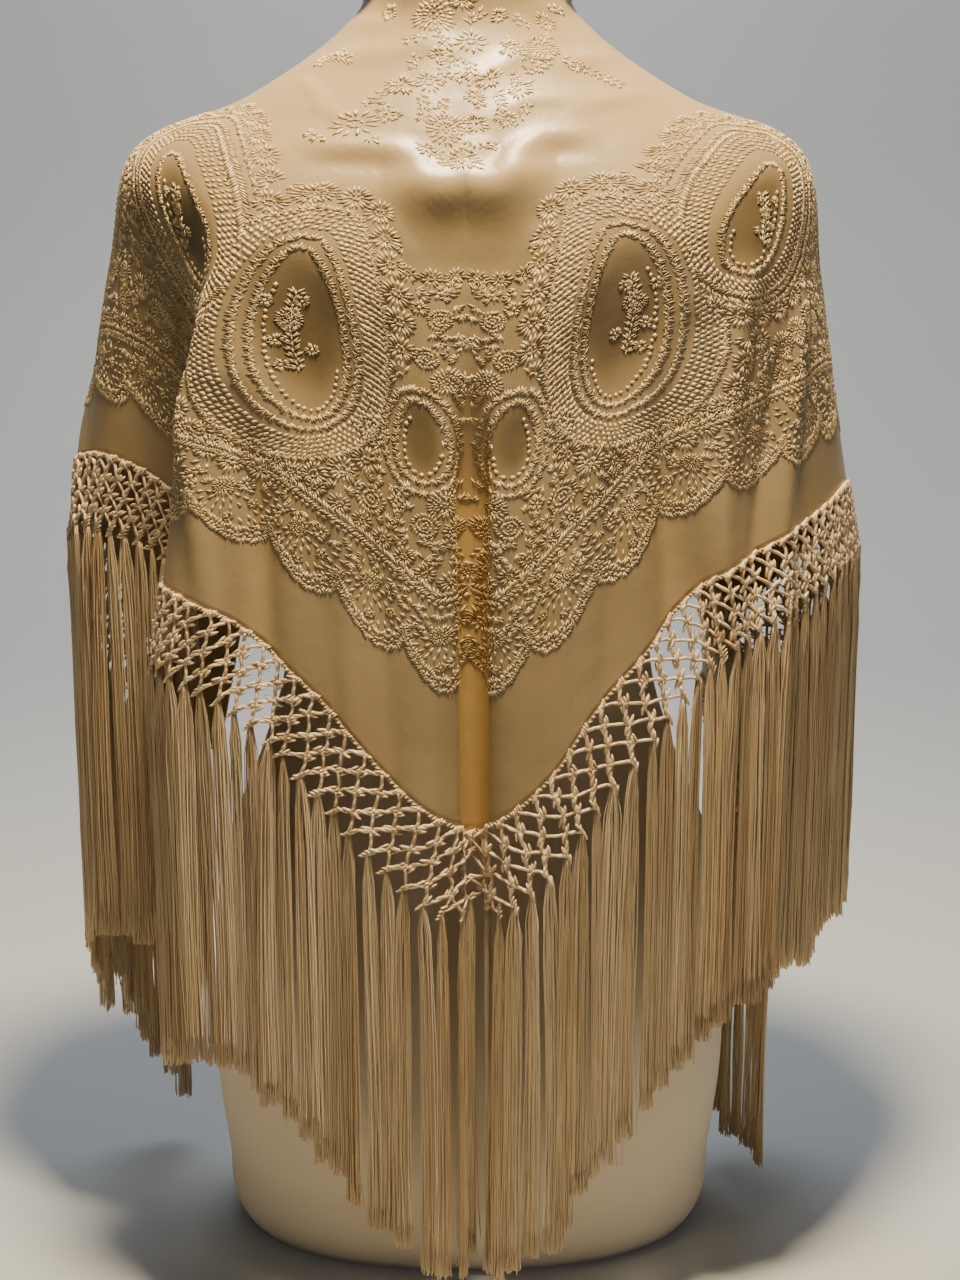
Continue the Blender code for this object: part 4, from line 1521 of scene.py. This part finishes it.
    def stitches(self, name: str, rows: np.ndarray) -> bpy.types.Object:
        """Joins stitches to one piece on the draped cloth.

        Args:
            name: the piece's name.
            rows: the stitches.

        Returns:
            The piece.
        """
        seed = Template.seed(4, 2)
        x, y, z = seed.points.T
        dice = np.random.default_rng(self.seed + len(rows))
        rows = rows.copy()
        rows[:, 3:] *= dice.uniform(0.8, 1.15, rows.shape)[:, 3:]
        rows[:, :2] += dice.normal(0, 0.025, (len(rows), 2))
        rows[:, 2] += dice.normal(0, 0.12, len(rows))
        c, d = np.cos(rows[:, 2:3]), np.sin(rows[:, 2:3])
        u = x[None] * rows[:, 3:4] * self.spread * MM
        v = y[None] * rows[:, 4:5] * self.spread * MM
        s = rows[:, 0:1] * CM + c * u - d * v
        t = rows[:, 1:2] * CM + d * u + c * v
        height = self.seat + z[None] * rows[:, 5:6] * MM
        placed = self.drape.place(s, np.maximum(t, 0.0005), height)
        # each stitch's depth in a fold sets the floss's painted glow
        return seed.joined(name, placed, self.drape.folded(rows[:, 0] * CM, rows[:, 1] * CM))


# Net and fringe


@dataclass
class Skirt:
    """The strip below both fringed edges, one run from tip to tip round the apex.

    Along it, u is zero at the apex and grows towards the wearer's right tip.
    """

    drape: Drape
    depth: float = 43 * MM

    def half_corner(self) -> float:
        """Angle by which the strip turns on each side of the apex."""
        return math.atan2(self.drape.height, self.drape.half_edge)

    def corner(self) -> float:
        """Length of half the turn at full depth."""
        return self.depth * self.half_corner()

    def length(self) -> float:
        """Length from the apex to a tip, along the strip."""
        return self.corner() + math.hypot(self.drape.half_edge, self.drape.height)

    def place(self, u: np.ndarray, past: np.ndarray, height: np.ndarray | float = 1.0 * MM) -> np.ndarray:
        """Points beside the edge, hanging as the cloth does.

        Args:
            u: distance along the strip.
            past: distance beyond the hem.
            height: height over the cloth's inner face.

        Returns:
            The points in the frame.
        """
        u, past = np.broadcast_arrays(np.asarray(u, float), np.asarray(past, float))
        side = np.where(u < 0, -1.0, 1.0)
        along = np.abs(u) - self.corner()
        leg = math.hypot(self.drape.half_edge, self.drape.height)
        way = np.array([self.drape.half_edge, -self.drape.height]) / leg
        turn = self.half_corner() - np.clip(-along / self.depth, 0, self.half_corner())
        on = np.maximum(along, 0)
        s = side * (on * way[0] + past * np.sin(turn))
        t = self.drape.height + on * way[1] + past * np.cos(turn)
        return self.drape.place(s, t, height)


@dataclass
class KnottedNet:
    """Rows of doubled silk cords, knotted by hand where they meet."""

    skirt: Skirt
    pitch: float = 13 * MM
    rows: int = 4
    ply: float = 0.92 * MM
    lay: float = 0.78 * MM
    knot: float = 1.5
    corner_knots: tuple = ((0.0,), (0.0,), (8.1,), (7.0, 20.6), (0.0, 13.0, 26.0))

    def knots_of(self, row: int) -> np.ndarray:
        """Places of a row's knots along the strip."""
        start = 0.5 if row % 2 == 0 else (0.0 if row == 1 else 1.0)
        corner, depth = self.skirt.corner(), max(self.depth_of(row), 1 * MM)
        leg = np.arange(start, 80) * self.pitch + corner
        leg = leg[leg < self.skirt.length() - 3 * MM]
        inner = np.array(self.corner_knots[row]) * MM * self.skirt.depth / depth
        half = np.concatenate([np.minimum(inner, corner - 1 * MM), leg])
        return np.unique(np.concatenate([-half[half > 0], half]))

    def depth_of(self, row: int) -> float:
        """How far a row lies below the hem."""
        return (self.skirt.depth - 1.5 * MM) * row / self.rows + 0.4 * MM

    def links(self, dice: np.random.Generator) -> tuple[np.ndarray, list]:
        """Joins each knot to the two above it.

        Args:
            dice: for the hand's small differences.

        Returns:
            Start and end of every cord as (u, depth), and the knots of each row.
        """
        knots = []
        for row in range(self.rows + 1):
            u = self.knots_of(row)
            shift = dice.normal(0, 0.7 * MM, (len(u), 2)) * (0.3 if row == 0 else 1.0)
            knots.append(np.stack([u + shift[:, 0], self.depth_of(row) + np.abs(shift[:, 1])], axis=-1))
        cords = []
        for upper, lower in zip(knots, knots[1:]):
            for knot in lower:
                right = int(np.searchsorted(upper[:, 0], knot[0]))
                for k in (right - 1, right):
                    if 0 <= k < len(upper):
                        cords.append((*upper[k], *knot))
        return np.array(cords), knots

    def build(self, finish: bpy.types.Material) -> list:
        """Builds the cords and knots of both edges.

        Args:
            finish: the cord's material.

        Returns:
            The cords' and the knots' objects.
        """
        dice = np.random.default_rng(11)
        cords, knots = self.links(dice)
        share = np.linspace(0, 1, 6)
        bow = np.sin(np.pi * share)[None]
        lean = np.sign(cords[:, 2] - cords[:, 0])[:, None]
        u = cords[:, 0:1] + (cords[:, 2:3] - cords[:, 0:1]) * share
        past = cords[:, 1:2] + (cords[:, 3:4] - cords[:, 1:2]) * share
        sag = dice.normal(0.9 * MM, 0.5 * MM, (len(cords), 1))
        rod = Template.rod(5, 5)
        paths = []
        for strand in (-1, 1):
            turn = np.pi * (share * 2.2 + dice.uniform(0, 1, (len(cords), 1)))
            aside = self.lay * np.cos(turn) * strand
            across = u + lean * bow * sag + 0.75 * aside
            height = 1.3 * MM + self.lay * (1 + strand * np.sin(turn))
            paths.append(self.skirt.place(across, past + 0.65 * aside, height))
        paths = np.concatenate(paths)
        radii = np.full(paths.shape[:2] + (2,), self.ply)
        side = np.tile([0.3, -1.0, 0.2], (len(paths), 1))
        made = rod.joined("net_cords", rod.along(paths, side, radii))
        return [dressed(made, finish, "silk_net", "net_left", "net_right"), self.ties(knots, finish, dice)]

    def ties(self, knots: list, finish: bpy.types.Material, dice: np.random.Generator) -> bpy.types.Object:
        """Builds each knot as a short coil of slanted turns round a core.

        Args:
            knots: the knots of each row, as (u, depth).
            finish: the cord's material.
            dice: for the hand's small differences.

        Returns:
            The knots' object.
        """
        seed = Template.seed(5, 3)
        u, past = np.concatenate(knots).T
        row = np.repeat(np.arange(len(knots)), [len(k) for k in knots])
        first, last = row == 0, row == self.rows
        before, middle, after = (self.skirt.place(u + step, past, 2.0 * MM) for step in (-2 * MM, 0, 2 * MM))
        beside = unit(after - before)
        outward = unit(np.cross(beside, [0, 0, 1.0]))
        down = np.cross(outward, beside)
        placed = []
        turns = dice.uniform(-0.4, 0.4, len(u))
        for offset in (-1.5, -0.5, 0.5, 1.5):
            slant = 0.65 + turns + dice.normal(0, 0.12, len(u))
            size = np.where(first, 0.75, 1.0) * self.knot
            long = (2.35 + 0.25 * (abs(offset) < 1)) * MM * size
            along = np.where(last, 0.25, 1.0)[:, None] * beside + np.where(last, 1.0, 0.25)[:, None] * down
            step = along * (offset * 1.45 * MM * size)[:, None]
            c, d = np.cos(slant)[:, None], np.sin(slant)[:, None]
            first_way, second_way = d * beside + c * down, c * beside - d * down
            x, y, z = (seed.points[:, k][None, :, None] * 2 for k in range(3))
            placed.append((middle + step)[:, None] + x * (first_way * long[:, None])[:, None]
                          + y * (second_way * 0.95 * MM)[:, None] + z * outward[:, None] * 1.5 * MM)
        return dressed(seed.joined("net_knots", np.concatenate(placed)), finish, "silk_net")

    def overcast(self, finish: bpy.types.Material) -> bpy.types.Object:
        """Builds the stitches that bind the net's first cords to the hem.

        Args:
            finish: the cord's material.

        Returns:
            The stitches' object.
        """
        seed = Template.seed(4, 2)
        u = np.arange(-self.skirt.length() + 2 * MM, self.skirt.length(), 2.6 * MM)
        u = u[np.abs(u) > self.skirt.corner()]
        x, y, z = seed.points.T
        lean = np.where(np.arange(len(u)) % 2, 0.5, 0.8)[:, None] * np.sign(u)[:, None]
        place_u = u[:, None] + (x * np.sin(lean) + y * 0.36 * np.cos(lean)) * 4.6 * MM
        past = 0.2 * MM + (x * np.cos(lean) - y * 0.36 * np.sin(lean)) * 4.6 * MM
        made = seed.joined("hem_overcast", self.skirt.place(place_u, past, 1.4 * MM + z[None] * 3.0 * MM))
        return dressed(made, finish, "silk_net")


@dataclass
class Fringe:
    """Skeins of fine silk threads that hang plumb from the net's lowest knots.

    Over the left arm they are a little longer: left_extra gives places along X and the added lengths,
    for the strands on the back's side of left_front.
    """

    skirt: Skirt
    pitch: float = 13 * MM
    length: float = 0.226
    jitter: float = 7 * MM
    threads: int = 38
    thread: float = 0.40 * MM
    floor: float = 7 * MM
    left_extra: tuple = ((-0.25, 38 * MM), (-0.20, 34 * MM), (-0.16, 0.0), (0.20, 0.0))
    left_front: float = 0.05

    def build(self, name: str, node: str, low: float, high: float, seed: int,
              finish: bpy.types.Material) -> bpy.types.Object:
        """Builds one stretch of fringe.

        Args:
            name: the piece's name.
            node: the CAD node that it replaces.
            low: where the stretch starts along the strip.
            high: where it ends.
            seed: for the strands' small differences.
            finish: the threads' material.

        Returns:
            The fringe.
        """
        dice = np.random.default_rng(seed)
        middles = np.concatenate([np.arange(0, 3) * self.pitch,
                                  self.skirt.corner() + (np.arange(0, 80) + 0.5) * self.pitch])
        middles = np.unique(np.concatenate([-middles, middles]))
        middles = middles[(middles >= low) & (middles < high)]
        middles = middles[np.abs(middles) < self.skirt.length() - 4 * MM]
        root = self.skirt.place(middles, self.skirt.depth - 0.5 * MM, 1.6 * MM)
        beside = (self.skirt.place(middles + 4 * MM, self.skirt.depth)
                  - self.skirt.place(middles - 4 * MM, self.skirt.depth))
        heading = np.arctan2(beside[:, 1], beside[:, 0]) + dice.uniform(-0.3, 0.3, len(root))
        level = np.zeros_like(heading)
        beside = np.stack([np.cos(heading), np.sin(heading), level], -1)
        outward = np.stack([np.sin(heading), -np.cos(heading), level], -1)
        extra = np.interp(root[:, 0], *np.array(self.left_extra).T) * (root[:, 1] < self.left_front)
        length = self.length + extra + dice.uniform(-1, 1, len(root)) * self.jitter
        length = np.minimum(length, root[:, 2] - self.floor)
        share = np.array([0, 0.025, 0.08, 0.2, 0.45, 0.72, 0.93, 1.0])
        wide = np.interp(share, [0, 0.025, 0.08, 0.3, 0.85, 1], [1.3, 2.3, 4.3, 5.5, 5.9, 6.8]) * MM
        deep = np.interp(share, [0, 0.025, 0.1, 0.6, 1], [1.1, 1.4, 1.3, 1.2, 1.9]) * MM
        wide = wide * dice.uniform(0.75, 1.15, (len(root), 1, 1))
        turn = all_round(self.threads) + dice.uniform(0, 6.28, (len(root), 1))
        near = dice.uniform(0.35, 1.0, (len(root), self.threads))
        drift = dice.normal(0, 0.45 * MM, (2, len(root), self.threads, len(share)))
        drift[..., :2] *= 0.2
        sway = dice.normal(0, 1.8 * MM, (len(root), 1, 1)) * np.sin(share * 2.2)[None, None]
        side = (np.cos(turn) * near)[..., None] * wide + drift[0] + sway
        front = (np.sin(turn) * near)[..., None] * deep + drift[1]
        stray = dice.uniform(0, 1, near.shape) < 0.05
        side = side + (stray * dice.normal(0, 4.5 * MM, near.shape))[..., None] * share**1.5
        reach = length[:, None] * (1 - dice.uniform(0, 0.05, near.shape) ** 1.3)
        drop = reach[..., None] * share
        paths = (root[:, None, None] + beside[:, None, None] * side[..., None]
                 + outward[:, None, None] * front[..., None] - np.array([0, 0, 1.0]) * drop[..., None])
        paths = paths.reshape(-1, len(share), 3)
        rod = Template.rod(3, len(share) - 1)
        radii = np.full(paths.shape[:2] + (2,), self.thread)
        across = np.repeat(beside, self.threads, axis=0)
        made = rod.joined(name, rod.along(paths, across, radii))
        return dressed(made, finish, "silk_fringe", node)


# Stage


@dataclass
class Studio:
    """Pale seamless floor and wall, soft lights and the photograph's camera."""

    paper: StudioPaper = field(default_factory=StudioPaper)
    eye: tuple = (0.0074, -1.136, 0.629)
    tilt: float = 12.3  # degrees below level

    def sweep(self) -> None:
        """Builds the floor that curves up to a wall behind the object."""
        run, bend, rise, radius = 4.6, 1.3, 1.6, 0.83
        mesh = bmesh.new()
        bmesh.ops.create_grid(mesh, x_segments=2, y_segments=60, size=1)
        for v in mesh.verts:
            far = (v.co.y + 1) / 2 * 8.0
            turn = min(max((far - run) / bend, 0), 1) * math.pi / 2
            ahead = min(far, run) - 3.0 + radius * math.sin(turn)
            up = radius * (1 - math.cos(turn)) + max(far - run - bend, 0) * rise
            v.co = Vector((v.co.x * 6, ahead, up))
        bmesh.ops.recalc_face_normals(mesh, faces=mesh.faces)
        made = smooth_object("backdrop", mesh)
        made.data.materials.append(self.paper.material())

    def light(self, name: str, place: tuple, aim: tuple, size: float, power: float, tone: str) -> None:
        """Adds one soft area light.

        Args:
            name: the light's name.
            place: where it is.
            aim: what it points at.
            size: its side in metres.
            power: watts.
            tone: hex colour.
        """
        data = bpy.data.lights.new(name, "AREA")
        data.shape = "DISK"
        data.size = size
        data.energy = power
        data.color = linear(tone)[:3]
        made = in_scene(name, data)
        made.location = place
        made.rotation_euler = (Vector(aim) - Vector(place)).to_track_quat("-Z", "Y").to_euler()

    def build(self) -> None:
        """Sets the backdrop, the lights, the pale surroundings and the camera."""
        self.sweep()
        self.light("ceiling", (0.03, -0.25, 1.45), (0, -0.05, 0.6), 0.2, 39, "#ffe9c2")
        self.light("front", (1.6, -2.6, 0.9), (0, 0, 0.4), 1.6, 3.6, "#f4f6ff")
        self.light("back_wall", (0, 1.2, 2.6), (0, 2.4, 0.8), 2.0, 46, "#f2f7ff")
        world = bpy.data.worlds.new("pale_room")
        world.use_nodes = True
        room = world.node_tree.nodes["Background"]
        room.inputs["Color"].default_value = linear("#dfe3e8")
        room.inputs["Strength"].default_value = 0.1
        bpy.context.scene.world = world
        data = bpy.data.cameras.new("photo_camera")
        data.lens = 52
        data.sensor_width = 36
        camera = in_scene("photo_camera", data)
        camera.location = self.eye
        camera.rotation_euler = (math.radians(90 - self.tilt), 0, 0)
        bpy.context.scene.camera = camera


def main() -> None:
    """Builds the stage, the form and the shawl, piece by piece."""
    logging.basicConfig(level=logging.INFO, format="%(name)s %(message)s")
    Studio().build()
    shape = FormShape()
    drape = Drape(shape)
    form = DressForm(shape).build()
    cloth = Cloth(drape)
    sheet = cloth.build()
    hems = cloth.hems(sheet.data.materials[0])
    sewn = Embroidery(drape).sew()
    cord = SilkThread("silk_cord_twisted", "#e8d2ab", "#c09d70", 0.31, 0.15, 0.8 * MM).material()
    spun = SilkThread("silk_fringe_thread_spun", "#d8c198", "#b8986c", 0.38, 0.2, 0.7 * MM,
                      stretch=(0.6, 0.6, 0.02)).material()
    skirt = Skirt(drape)
    net = KnottedNet(skirt)
    hung = [*net.build(cord), net.overcast(cord)]
    fringe = Fringe(skirt)
    leg = skirt.length() - skirt.corner()
    stops = [-1e-6] + [skirt.corner() + share * leg for share in (0.312, 0.68, 1.0)]
    for side_name, side in (("left", -1), ("right", 1)):
        for number, part in enumerate(("back", "side", "front")):
            low, high = sorted((side * stops[number], side * stops[number + 1]))
            hung.append(fringe.build(f"threads_{part}_{side_name}", f"fringe_{part}_{side_name}", low, high,
                                     100 + 10 * number + side, spun))


if __name__ == "__main__":
    main()
